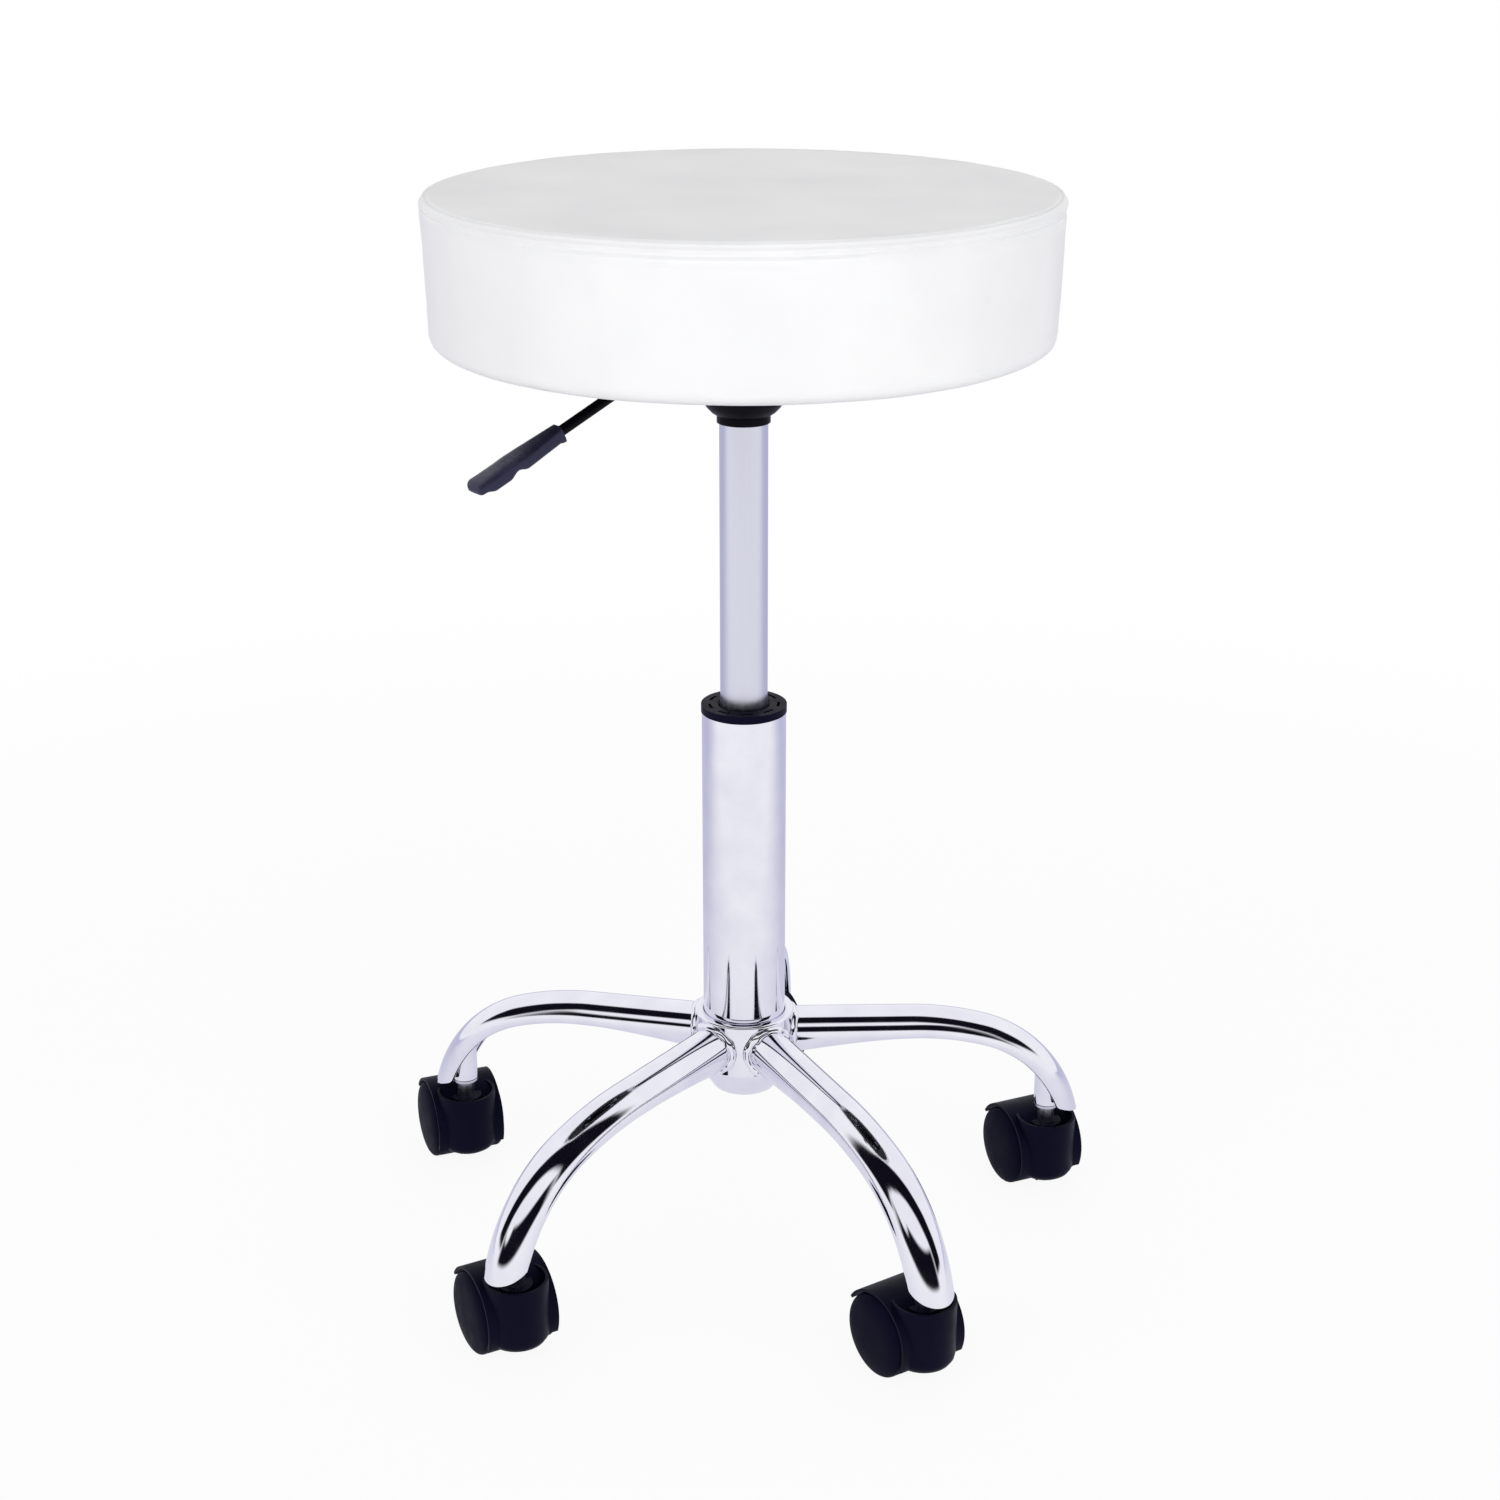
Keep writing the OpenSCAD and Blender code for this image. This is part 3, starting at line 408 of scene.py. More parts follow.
def spun_bond():
    material, tree, shader, coords = base_material("spun_bond_dust_cover", "#1b1b1f", 0.85)
    dots = add(tree, "ShaderNodeTexVoronoi", Vector=coords, Scale=1 / BOND_PITCH, Randomness=0.15)
    fibres = noise(tree, coords, FIBRE, 4.0, (6, 1, 1))
    patterned(tree, shader, fibres, "#141417", "#2c2c31")
    shader.inputs["Sheen Weight"].default_value = 0.3
    bumped(tree, shader, dots.outputs["Distance"], 0.25 * MM)
    return material


def open_foam():
    material, tree, shader, coords = base_material("open_cell_foam", "#e9dcae", 0.9)
    cells = add(tree, "ShaderNodeTexVoronoi", Vector=coords, Scale=1 / CELL).outputs["Distance"]
    patterned(tree, shader, cells, "#efe3b8", "#d5c68f")
    bumped(tree, shader, cells, 0.4 * MM)
    return material


plywood, dust_cloth, foam = birch_plywood(), spun_bond(), open_foam()
print("plywood, dust cover and foam")

# %% [markdown]
# Parts whose shape is already right keep their solids and only take a finish, by their record slot.

# %% Finish the parts that stay
SLOT_FINISH = {"vinyl": vinyl, "foam": foam, "plywood": plywood, "felt": dust_cloth,
               "black_steel": coat, "steel": satin, "chrome": chrome, "black_plastic": black_nylon,
               "rubber": rubber, "nylon": natural_nylon}
for row in frame["record"]["subparts"]:
    part = frame["nodes"][row["node"]]
    part.data.materials.clear()
    part.data.materials.append(SLOT_FINISH[row["material_slot"]])

# %% [markdown]
# ## The seat cushion
# A stool seat is a disc of foam on a board, under a vinyl cover sewn from a round top and a side
# band. The seam lies in the rolled top edge and shows as two fine lines, and the band is pulled round
# the bottom corner and stapled underneath. The profile below is that outline, from the middle
# of the top down to the edge of the turned-in cover.

# %% Outline of the seat
seat_low, seat_high = (np.array(corner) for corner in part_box("seat_cover"))
SEAT_R = seat_high[0]
EDGE_R = 8 * MM
EDGE_END = 74
CORNER_R = 9 * MM
DRAW_IN = 2 * MM
CROWN_FLAT_R = 60 * MM
CROWN_H = 2.4 * MM
TURN_R = 150 * MM
SEAM_ANGLES = (60, 8)
MIDDLE_R = 4 * MM
CURVE_POINTS, CORNER_POINTS = 60, 40
edge_z = seat_high[2] - CROWN_H - EDGE_R * math.sin(math.radians(EDGE_END))


def running_length(points):
    """How far along the line each point lies."""
    return np.concatenate([[0], np.cumsum(np.linalg.norm(np.diff(points, axis=0), axis=1))])


def steps_along(points, spacing):
    """The same curve with points a given distance apart, by running length."""
    run = running_length(points)
    count = max(2, int(round(run[-1] / spacing)) + 1)
    at = np.linspace(0, run[-1], count)
    return np.stack([np.interp(at, run, points[:, k]) for k in (0, 1)], axis=1)


def edge_at(degrees):
    """Points of the rolled edge's arc, at these angles above level."""
    return EDGE_R * on_circle(np.radians(degrees)) + [SEAT_R - EDGE_R, edge_z]


def seat_profile():
    """Crown: a parabola to the flat middle. Edge and corner: arcs. Side: drawn in by a square law."""
    share = np.linspace(0, 1, CURVE_POINTS)
    edge_in = SEAT_R - EDGE_R + EDGE_R * math.cos(math.radians(EDGE_END))
    crown_r = CROWN_FLAT_R + share * (edge_in - CROWN_FLAT_R)
    crown = np.stack([crown_r, seat_high[2] - CROWN_H * share ** 2], axis=1)
    flat = np.array([[MIDDLE_R, seat_high[2]], [CROWN_FLAT_R, seat_high[2]]])
    edge = edge_at(np.linspace(EDGE_END, 0, CORNER_POINTS))
    corner_z = seat_low[2] + CORNER_R
    side = np.stack([SEAT_R - DRAW_IN * share ** 2, edge_z + share * (corner_z - edge_z)], axis=1)
    corner_in = SEAT_R - DRAW_IN - CORNER_R
    angle = np.radians(np.linspace(0, -90, CORNER_POINTS))
    corner = CORNER_R * on_circle(angle) + [corner_in, corner_z]
    under = np.array([[corner_in, seat_low[2]], [TURN_R, seat_low[2]]])
    stretches = [(flat, 6 * MM), (crown, 6 * MM), (edge, 1 * MM), (side, 5 * MM), (corner, 2 * MM),
                 (under, 4 * MM)]
    pieces = [steps_along(points, spacing)[:-1] for points, spacing in stretches]
    return np.concatenate(pieces + [under[-1:]])


profile = seat_profile()
COLUMNS = 256
cover_grid = turned(profile, COLUMNS)
print("seat: %.0f mm across, %d rows of %d points" % (2 * SEAT_R / MM, len(profile), COLUMNS))

# %% [markdown]
# Vinyl over foam is never the pure outline. The foam presses each panel out between its seams, and
# the sewn edge is a little longer than the foam wants, so the cover puckers. Cloth simulation finds
# that shape: the seams and the stapled edge are pinned, air pressure stands in for the foam, and the
# cover is a touch larger than the outline. The result is added to the outline, with a cap, and the
# middle of the top, where nothing is sewn, takes the mean of it.

# %% Press the cover out by simulation
PRESSURE = 4.0
SPARE_SHARE = 0.002
CAP = 1.2 * MM
UNEVEN = 0.25 * MM
EASING_PASSES = 16
CALM_R = 45 * MM
SIM_FRAMES = 20
UNEVEN_SEED = 7
CLOTH_STEPS, CLOTH_MASS = 6, 0.4
STRETCH_STIFFNESS, BENDING_STIFFNESS = 40, 8
seam_rows = [int(np.argmin(np.linalg.norm(profile - at, axis=1))) for at in edge_at(SEAM_ANGLES)]
under_row = int(np.argmax(profile[:, 1] < seat_low[2] + 1e-6))


def inflated(grid):
    """The grid's points after the cloth has been pressed out against its pinned rows."""
    rows, cols = grid.shape[:2]
    rng = np.random.default_rng(UNEVEN_SEED)
    points = grid.reshape(-1, 3) + rng.normal(0, UNEVEN, (rows * cols, 3))
    points[(np.arange(rows * cols) // cols) >= under_row] = grid[under_row:].reshape(-1, 3)
    points = np.concatenate([points, grid[0].mean(axis=0)[None]])
    j = np.arange(cols)
    faces = grid_faces(rows, cols).tolist()
    faces += np.stack([np.full(cols, rows * cols), j, (j + 1) % cols], axis=1).tolist()
    mesh = bpy.data.meshes.new("cover_cloth")
    mesh.from_pydata(points.tolist(), [], faces)
    cloth_piece = placed("cover_cloth", mesh)
    pinned = cloth_piece.vertex_groups.new(name="pinned")
    held = [row * cols + k for row in seam_rows + list(range(under_row, rows)) for k in range(cols)]
    pinned.add(held, 1.0, "REPLACE")
    modifier = cloth_piece.modifiers.new("cloth", "CLOTH")
    settings = modifier.settings
    settings.vertex_group_mass = "pinned"
    settings.use_pressure = True
    settings.uniform_pressure_force = PRESSURE
    settings.shrink_min = -SPARE_SHARE
    settings.quality = CLOTH_STEPS
    settings.mass = CLOTH_MASS
    settings.tension_stiffness = settings.compression_stiffness = STRETCH_STIFFNESS
    settings.bending_stiffness = BENDING_STIFFNESS
    settings.effector_weights.gravity = 0
    modifier.collision_settings.use_collision = False
    for frame_number in range(1, SIM_FRAMES + 1):
        bpy.context.scene.frame_set(frame_number)
    shown = cloth_piece.evaluated_get(bpy.context.evaluated_depsgraph_get()).to_mesh()
    moved = np.zeros(len(shown.vertices) * 3)
    shown.vertices.foreach_get("co", moved)
    cloth_piece.to_mesh_clear()
    bpy.data.objects.remove(cloth_piece)
    bpy.context.scene.frame_set(1)
    return moved.reshape(-1, 3)[:rows * cols].reshape(grid.shape)


def eased(grid, passes):
    """Each point moves half way to the mean of its four neighbours, so single-point noise goes."""
    for _ in range(passes):
        mean = (np.roll(grid, 1, axis=1) + np.roll(grid, -1, axis=1)) / 4
        padded = np.concatenate([grid[:1], grid, grid[-1:]])
        grid = grid / 2 + (mean + (padded[:-2] + padded[2:]) / 4) / 2
    return grid


press = np.zeros_like(cover_grid)
press = eased(inflated(cover_grid) - cover_grid, EASING_PASSES)
size = np.linalg.norm(press, axis=2, keepdims=True)
press *= np.minimum(1, CAP / np.maximum(size, 1e-9))
press[under_row:] = 0
calm = np.clip(cover_grid[:, 0, 0] / CALM_R, 0, 1)[:, None, None] ** 2
calm[under_row:] = 1
middle_rows = cover_grid[:, 0, 0] < CALM_R
middle_rows[under_row:] = False
press = calm * press + (1 - calm) * press[middle_rows].mean(axis=(0, 1))
print("cover pressed out by up to %.1f mm" % (np.linalg.norm(press, axis=2).max() / MM))

# %% [markdown]
# The seams come after the simulation. The grid is made twice as fine with the four-point rule, which
# puts a new point between each pair from two neighbours on either side. Then the seam's two lines
# sink into the edge, and the vinyl gathers across them in small puckers. Where a sitter's legs press
# on the front of the edge, the vinyl has taken a crease just under it.

# %% Seams and puckers
SEAM_DEPTH = 0.6 * MM
SEAM_HALF_WIDTH = 0.7 * MM
LIP_H = 0.5 * MM
LIP_OUT = 1.9 * MM
PUCKER_H = 0.07 * MM
PUCKER_REACH = 6 * MM
PUCKER_WAVES = (70, 150)
FOLD_BELOW, FOLD_WANDER = 3.5 * MM, 1.1 * MM
FOLD_DEPTH, FOLD_HALF_WIDTH = 2.6 * MM, 1.4 * MM
FOLD_TOWARDS, FOLD_FADE = math.radians(-62), 0.6
FOLD_EVEN, FOLD_UNEVEN, FOLD_LEAST = 0.8, 0.5, 0.35
FAINTEST_WAVE = 0.3
HEM_H = 1.5 * MM


def finer(grid, axis, closed):
    """Twice the points along one axis: a midpoint is nine times its two neighbours less the next two."""
    grid = np.moveaxis(grid, axis, 0)
    if closed:
        before, at, after, beyond = (np.roll(grid, k, axis=0) for k in (1, 0, -1, -2))
    else:
        padded = np.concatenate([2 * grid[:1] - grid[1:2], grid, 2 * grid[-1:] - grid[-2:-1]])
        before, at, after, beyond = padded[:-3], padded[1:-2], padded[2:-1], padded[3:]
    middle = (9 * (at + after) - before - beyond) / 16
    out = np.empty((len(at) * 2,) + grid.shape[1:])
    out[0::2], out[1::2] = at, middle
    if not closed:
        out = np.concatenate([out, grid[-1:]])
    return np.moveaxis(out, 0, axis)


def outward(grid):
    """Unit normals: the cross of the grid's two directions, turned away from the seat's middle."""
    down = np.gradient(grid, axis=0)
    round_ = np.roll(grid, -1, axis=1) - np.roll(grid, 1, axis=1)
    normal = unit(np.cross(down, round_))
    middle = np.array([0, 0, (seat_low[2] + seat_high[2]) / 2])
    return normal * np.sign(np.sum(normal * (grid - middle), axis=2, keepdims=True))


def ripple(angle, low, high, seed):
    """Uneven waves round the seat: sines of whole numbers of waves, with random phases."""
    rng = np.random.default_rng(seed)
    waves = np.arange(low, high)
    phase = rng.uniform(0, 2 * np.pi, len(waves))
    size = rng.uniform(FAINTEST_WAVE, 1, len(waves))
    return (size[:, None] * np.sin(waves[:, None] * angle + phase[:, None])).sum(axis=0) / len(waves) ** 0.5


cover = finer(finer(cover_grid + press, 0, False), 1, True)
run = running_length(finer(cover_grid, 0, False)[:, 0])
angle = full_turn(cover.shape[1])
seam_runs = [run[2 * row] for row in seam_rows]
push = np.zeros(cover.shape[:2])
for number, seam_run in enumerate(seam_runs):
    off = (run - seam_run)[:, None]
    push -= SEAM_DEPTH * np.exp(-(off / SEAM_HALF_WIDTH) ** 2)
    push += LIP_H * np.exp(-((np.abs(off) - LIP_OUT) / SEAM_HALF_WIDTH) ** 2)
    push += PUCKER_H * ripple(angle, *PUCKER_WAVES, 11 + number) * np.exp(-(off / PUCKER_REACH) ** 2)
fold_run = seam_runs[1] + FOLD_BELOW + FOLD_WANDER * ripple(angle, 1, 5, 21)
in_front = np.clip(np.cos(angle - FOLD_TOWARDS), 0, 1) ** FOLD_FADE
fold_share = np.clip(FOLD_EVEN + FOLD_UNEVEN * ripple(angle, 3, 9, 22), FOLD_LEAST, 1)
fold_depth = FOLD_DEPTH * in_front * fold_share
push -= fold_depth * np.exp(-((run[:, None] - fold_run) / FOLD_HALF_WIDTH) ** 2)
cover = cover + push[..., None] * outward(cover)
hem = cover[-1:] * [1, 1, 0] + [0, 0, seat_low[2] + HEM_H]
cushion = surface("cushion_cover", capped(np.concatenate([cover, hem])), vinyl, "seat", sharp=50)
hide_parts("seat_cover", "foam_pad")
print("cushion: %d faces, seams %.1f mm apart" % (len(cushion.data.polygons),
                                                 (seam_runs[1] - seam_runs[0]) / MM))

# %% [markdown]
# ## The legs
# Each leg is a chromed tube that leaves the hub round. A press folds its underside evenly up into the
# top half, until it is a channel that the castor's socket hides in, so the leg tapers along a straight
# line. Its section is two curves with matching points, a circle and a folded channel, mixed by how far
# along it is. The path is a straight, a long bow and a tight bend, each starting at the last one's slope.

# %% Path and section of a leg
LEG_R = 14 * MM
LEG_WALL = 1.5 * MM
FOLD_GAP = 0.6 * MM
CHANNEL_R = LEG_R - 2 * LEG_WALL - FOLD_GAP
STRAIGHT_SLOPE, BOW_SLOPE, END_SLOPE = 5.5, 20, 77
BOW_R = 194 * MM
BEND_R = 84 * MM
CASTOR_CIRCLE_R = 200 * MM
TIP_OUT = 5.9 * MM
TIP_GAP = 2 * MM
END_SET_BACK = 7.5 * MM
END_CUT = 34
PRESS_FROM_OUT, PRESS_FULL_IN = 7.5 * MM, 20 * MM
FOLD_TURN = 22
ARC_POINTS, FOLD_POINTS = 24, 5
LEG_ANGLES = {"back": 90, "left": 162, "front_left": 234, "front_right": 306, "right": 18}
hub_low, hub_high = (np.array(corner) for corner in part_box("base_hub"))
HUB_R = hub_high[0]
PRESS_FROM_R, PRESS_FULL_R = HUB_R + PRESS_FROM_OUT, CASTOR_CIRCLE_R - PRESS_FULL_IN
hood_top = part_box("castor_hood_back")[1][2]


def turn_of(slope):
    """Where a curve of radius one has got to when its fall reaches a slope: (sine, cosine)."""
    return np.array([math.sin(math.radians(slope)), math.cos(math.radians(slope))])


tip = np.array([CASTOR_CIRCLE_R + TIP_OUT, hood_top + TIP_GAP])
bend_start = tip - BEND_R * (turn_of(END_SLOPE) - turn_of(BOW_SLOPE))
bow_start = bend_start - BOW_R * (turn_of(BOW_SLOPE) - turn_of(STRAIGHT_SLOPE))
straight = math.radians(STRAIGHT_SLOPE)
axis_z = bow_start[1] + bow_start[0] * math.tan(straight)
straight_len = bow_start[0] / math.cos(straight)
bow_len = BOW_R * math.radians(BOW_SLOPE - STRAIGHT_SLOPE)
path_len = straight_len + bow_len + BEND_R * math.radians(END_SLOPE - BOW_SLOPE)


def leg_path(s):
    """Slope in radians, and (outwards, up), at a running length from the column's axis."""
    bow = np.clip(s - straight_len, 0, bow_len) / BOW_R
    bend = np.clip(s - straight_len - bow_len, 0, None) / BEND_R
    slope = straight + bow + bend
    bowed = straight + bow
    start = np.minimum(s, straight_len)
    first = np.array([math.cos(straight), -math.sin(straight)])
    at = start[:, None] * first + [0, axis_z]
    at = at + BOW_R * (on_circle(bowed)[:, ::-1] - turn_of(STRAIGHT_SLOPE))
    at = at + BEND_R * (on_circle(slope) - on_circle(bowed))[:, ::-1]
    return slope, at


def arc(start, end, count):
    """Angles from start towards end, in degrees, as radians and without the end itself."""
    return np.radians(np.linspace(start, end, count, endpoint=False))


def leg_sections(press):
    """For each amount of press, the section as (sideways, up): top arc, left fold, underside, right fold."""
    half, small = (LEG_R + CHANNEL_R) / 2, (LEG_R - CHANNEL_R) / 2
    top, under = arc(0, 180, ARC_POINTS), arc(180, 0, ARC_POINTS)
    fold = small * on_circle(arc(180, 360, FOLD_POINTS))
    channel = np.concatenate([LEG_R * on_circle(top), fold - [half, 0],
                              CHANNEL_R * on_circle(under), fold + [half, 0]])
    tube = LEG_R * on_circle(np.concatenate([
        top, arc(180, 180 + FOLD_TURN, FOLD_POINTS), arc(180 + FOLD_TURN, 360 - FOLD_TURN, ARC_POINTS),
        arc(360 - FOLD_TURN, 360, FOLD_POINTS)]))
    return tube * (1 - press[:, None, None]) + channel * press[:, None, None]


print("leg: %.0f mm along its middle, channel %.1f mm inside" % (path_len / MM, 2 * CHANNEL_R / MM))

# %% [markdown]
# The cut end shows both walls of the fold lying against each other. The last rows draw every point in
# to the middle of the wall, so the top arc and the underside meet there and are welded: that closes
# the end with a rounded rim.

# %% Make the five legs
LEG_ROWS = 120
ROOT_IN = 3 * MM
CUT_EASE = 30 * MM
RIM_ROUND = 0.6 * MM
RIM_ROWS = ((0.3, 1.0), (0.7, 1.3), (1.0, 1.3))


def turned_to(points, degrees):
    """Points turned about the column's axis."""
    c, s = math.cos(math.radians(degrees)), math.sin(math.radians(degrees))
    return points @ np.array([[c, s, 0], [-s, c, 0], [0, 0, 1]])


def leg_grid():
    """Sections square to the path, leaned over towards the slanting cut, and closed at both ends."""
    s = np.linspace(HUB_R - ROOT_IN, path_len, LEG_ROWS)
    slope, at = leg_path(s)
    reach = np.clip((at[:, 0] - PRESS_FROM_R) / (PRESS_FULL_R - PRESS_FROM_R), 0, 1)
    ring = leg_sections(reach)
    lean = np.clip((s - path_len + CUT_EASE) / CUT_EASE, 0, 1)[:, None]
    shift = lean * (ring[..., 1] * math.tan(math.radians(END_CUT)) - END_SET_BACK)
    half = (LEG_R + CHANNEL_R) / 2
    wall_middle = unit(ring[-1]) * half
    low = ring[-1][:, 1] <= 1e-9
    wall_middle[low] = np.stack([np.sign(ring[-1][low, 0]) * half, np.zeros(low.sum())], axis=1)
    for share, out in RIM_ROWS:
        ring = np.concatenate([ring, [ring[LEG_ROWS - 1] * (1 - share) + wall_middle * share]])
        tilt = ring[-1][:, 1] * math.tan(math.radians(END_CUT))
        shift = np.concatenate([shift, [tilt - END_SET_BACK + out * RIM_ROUND]])
    slope = np.concatenate([slope, np.repeat(slope[-1], len(RIM_ROWS))])
    at = np.concatenate([at, np.repeat(at[-1:], len(RIM_ROWS), axis=0)])
    r = at[:, 0, None] + ring[..., 1] * np.sin(slope)[:, None] + shift * np.cos(slope)[:, None]
    z = at[:, 1, None] + ring[..., 1] * np.cos(slope)[:, None] - shift * np.sin(slope)[:, None]
    return capped(np.stack([r, ring[..., 0], z], axis=2), last=False)


one_leg = leg_grid()
for place, turn in LEG_ANGLES.items():
    leg = surface("leg_tube_" + place, turned_to(one_leg, turn), chrome, "base", sharp=60)
    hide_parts("leg_" + place)
print("legs: %d faces each" % len(leg.data.polygons))

# %% [markdown]
# ## Hub, column and gas lift
# These are turned parts, so each is an outline carried round the axis. Their edges are broken with a
# small radius, as a lathe or a deburring wheel leaves them, because a bright line runs along such an
# edge in chrome. Each outline is a loop, and its first point lies on a straight stretch.

# %% Turned parts
AROUND = 160


def turned_part(name, corners, radius, material, body, node):
    """A loop of corners, softened and turned about the column's axis."""
    outline = soften(corners + corners[:1], radius)[:-1]
    piece = surface(name, turned(outline, AROUND), material, body, closed_rows=True)
    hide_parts(node)
    return piece


tube_low, tube_high = (np.array(corner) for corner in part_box("column_tube"))
gas_low, gas_high = (np.array(corner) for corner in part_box("gas_cylinder"))
COLUMN_R, COLUMN_WALL, COLUMN_FLOOR = tube_high[0], 1.5 * MM, 3 * MM
HUB_FOOT_R, HUB_FOOT_H, HUB_FLOOR = 19 * MM, 17.6 * MM, 11 * MM
WELL_R, NECK_BORE = 12 * MM, 4.05 * MM
GAS_R, GAS_WALL, TAPER_LEN, TAPER_IN = gas_high[0], 1.75 * MM, 28 * MM, 0.7 * MM
PLUG_LEN, PIN_BORE = 15 * MM, 3.05 * MM
column_in, gas_in, floor_z = COLUMN_R - COLUMN_WALL, GAS_R - GAS_WALL, tube_low[2] + COLUMN_FLOOR
turned_part("column", [
    (column_in, (tube_low[2] + tube_high[2]) / 2), (column_in, tube_high[2]), (COLUMN_R, tube_high[2]),
    (COLUMN_R, tube_low[2]), (NECK_BORE, tube_low[2]), (NECK_BORE, floor_z), (column_in, floor_z)],
    0.3 * MM, chrome, "base", "column_tube")
turned_part("hub", [
    (COLUMN_R, (hub_low[2] + hub_high[2]) / 2), (COLUMN_R, hub_high[2]), (HUB_R, hub_high[2]),
    (HUB_R, hub_low[2] + HUB_FOOT_H), (HUB_FOOT_R, hub_low[2]), (WELL_R, hub_low[2]),
    (WELL_R, hub_low[2] + HUB_FLOOR), (COLUMN_R, hub_low[2] + HUB_FLOOR)],
    1.6 * MM, chrome, "base", "base_hub")
turned_part("gas_tube", [
    (gas_in, (gas_low[2] + gas_high[2]) / 2), (gas_in, gas_low[2]), (GAS_R, gas_low[2]),
    (GAS_R, gas_high[2] - TAPER_LEN), (GAS_R - TAPER_IN, gas_high[2]), (PIN_BORE, gas_high[2]),
    (PIN_BORE, gas_high[2] - PLUG_LEN), (gas_in, gas_high[2] - PLUG_LEN)],
    0.3 * MM, satin, "seat", "gas_cylinder")
print("turned: column, hub and gas tube")

# %% [markdown]
# A bead of weld runs round the root of each leg, where the tube meets the hub. A weld is laid as a
# row of overlapping drops, so the bead's thickness rises and falls along it, and polishing before the
# plating only half removes that. The path is where the tube's surface meets the hub's cylinder.

# %% Weld beads
BEAD_R = 2.6 * MM
BEAD_WAVE = 0.5 * MM
DROPS = 7
DROP_POINTS, BEAD_POINTS = 24, 12
UNEVEN_PACE = 0.35
SWELLS = ((0.6, 3), (0.3, 11))


def bead_round(path, normal, seed):
    """A closed tube along a path whose radius swells once for each drop, unevenly."""
    rng = np.random.default_rng(seed)
    turn = np.arange(len(path)) / len(path)
    pace = 1 + UNEVEN_PACE * ripple(2 * np.pi * turn, 2, 9, seed)
    phase = np.cumsum(pace)
    swell = BEAD_R + BEAD_WAVE * np.sin(np.pi * DROPS * phase / phase[-1]) ** 2
    for share, waves in SWELLS:
        swell += share * BEAD_WAVE * np.sin(2 * np.pi * (waves * turn + rng.uniform()))
    ahead = unit(np.roll(path, -1, axis=0) - np.roll(path, 1, axis=0))
    across = np.cross(ahead, normal)
    ring = circle(1.0, BEAD_POINTS)
    return (path[:, None] + swell[:, None, None] * (ring[None, :, :1] * normal[:, None]
                                                   + ring[None, :, 1:] * across[:, None]))


def root_path(count):
    """Where the leg's surface meets the hub: solved for the running length at each turn of the tube."""
    turn = full_turn(count)
    side, up = LEG_R * np.cos(turn), LEG_R * np.sin(turn)
    r = np.sqrt(HUB_R ** 2 - side ** 2)
    s = (r - up * math.sin(straight)) / math.cos(straight)
    path = np.stack([r, side, axis_z - s * math.sin(straight) + up * math.cos(straight)], axis=1)
    return path, np.stack([r / HUB_R, side / HUB_R, 0 * r], axis=1)


bead_path, bead_normal = root_path(DROP_POINTS * DROPS)
for seed, (place, turn) in enumerate(LEG_ANGLES.items()):
    bead = surface("leg_weld_" + place, turned_to(bead_round(bead_path, bead_normal, seed), turn), chrome,
                   "base", closed_rows=True, sharp=60)
print("welds: five beads of %d drops" % DROPS)

# %% [markdown]
# Each castor plugs into a short tube that is welded into the leg's channel. Its top follows the roof of
# the channel, which is a torus round the tight bend: at each turn of the tube, its height comes from
# the torus's own formula.

# %% Stem sockets
SOCKET_R, SOCKET_WALL = 8 * MM, 1.2 * MM
ROOF_GAP = 1 * MM
SOCKET_EDGE = 0.3 * MM
SOCKET_IN, SOCKET_AROUND = SOCKET_R - SOCKET_WALL, 64
socket_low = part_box("stem_sockets")[0][2]
bend_centre = bend_start - BEND_R * turn_of(BOW_SLOPE)


def roof_over(points):
    """Height of the channel's roof above points at (radius, side)."""
    reach = BEND_R + np.sqrt((CHANNEL_R - ROOF_GAP) ** 2 - points[:, 1] ** 2)
    return bend_centre[1] + np.sqrt(reach ** 2 - (points[:, 0] - bend_centre[0]) ** 2)


def socket_grid():
    """Rows up the outside, over the top edge and down the inside, closed into a loop."""
    rows = []
    for radius, share in ((SOCKET_R - SOCKET_EDGE, 0), (SOCKET_R, 0.01), (SOCKET_R, 0.3), (SOCKET_R, 0.6),
                          (SOCKET_R, 1), (SOCKET_IN, 1), (SOCKET_IN, 0.5), (SOCKET_IN, 0.01),
                          (SOCKET_IN + SOCKET_EDGE, 0)):
        ring = circle(radius, SOCKET_AROUND) + [CASTOR_CIRCLE_R, 0]
        z = socket_low + share * (roof_over(ring) - socket_low)
        rows.append(np.concatenate([ring, z[:, None]], axis=1))
    return np.stack(rows)


one_socket = socket_grid()
for place, turn in LEG_ANGLES.items():
    socket = surface("stem_socket_" + place, turned_to(one_socket, turn), chrome, "base",
                     closed_rows=True)
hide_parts("stem_sockets")
print("sockets: five, %.0f mm tall" % ((roof_over(np.array([[CASTOR_CIRCLE_R, 0]]))[0] - socket_low) / MM))

# %% [markdown]
# ## Parts finished from their own solids
# Where the solid already has the right shape, a copy of it is finished: its loose triangles are
# welded, its flat faces are joined up again, and its edges are broken with a narrow bevel, so they
# catch a line of light as moulded and coated edges do.

# %% Finish copies of solids
BEVEL_ANGLE = 30


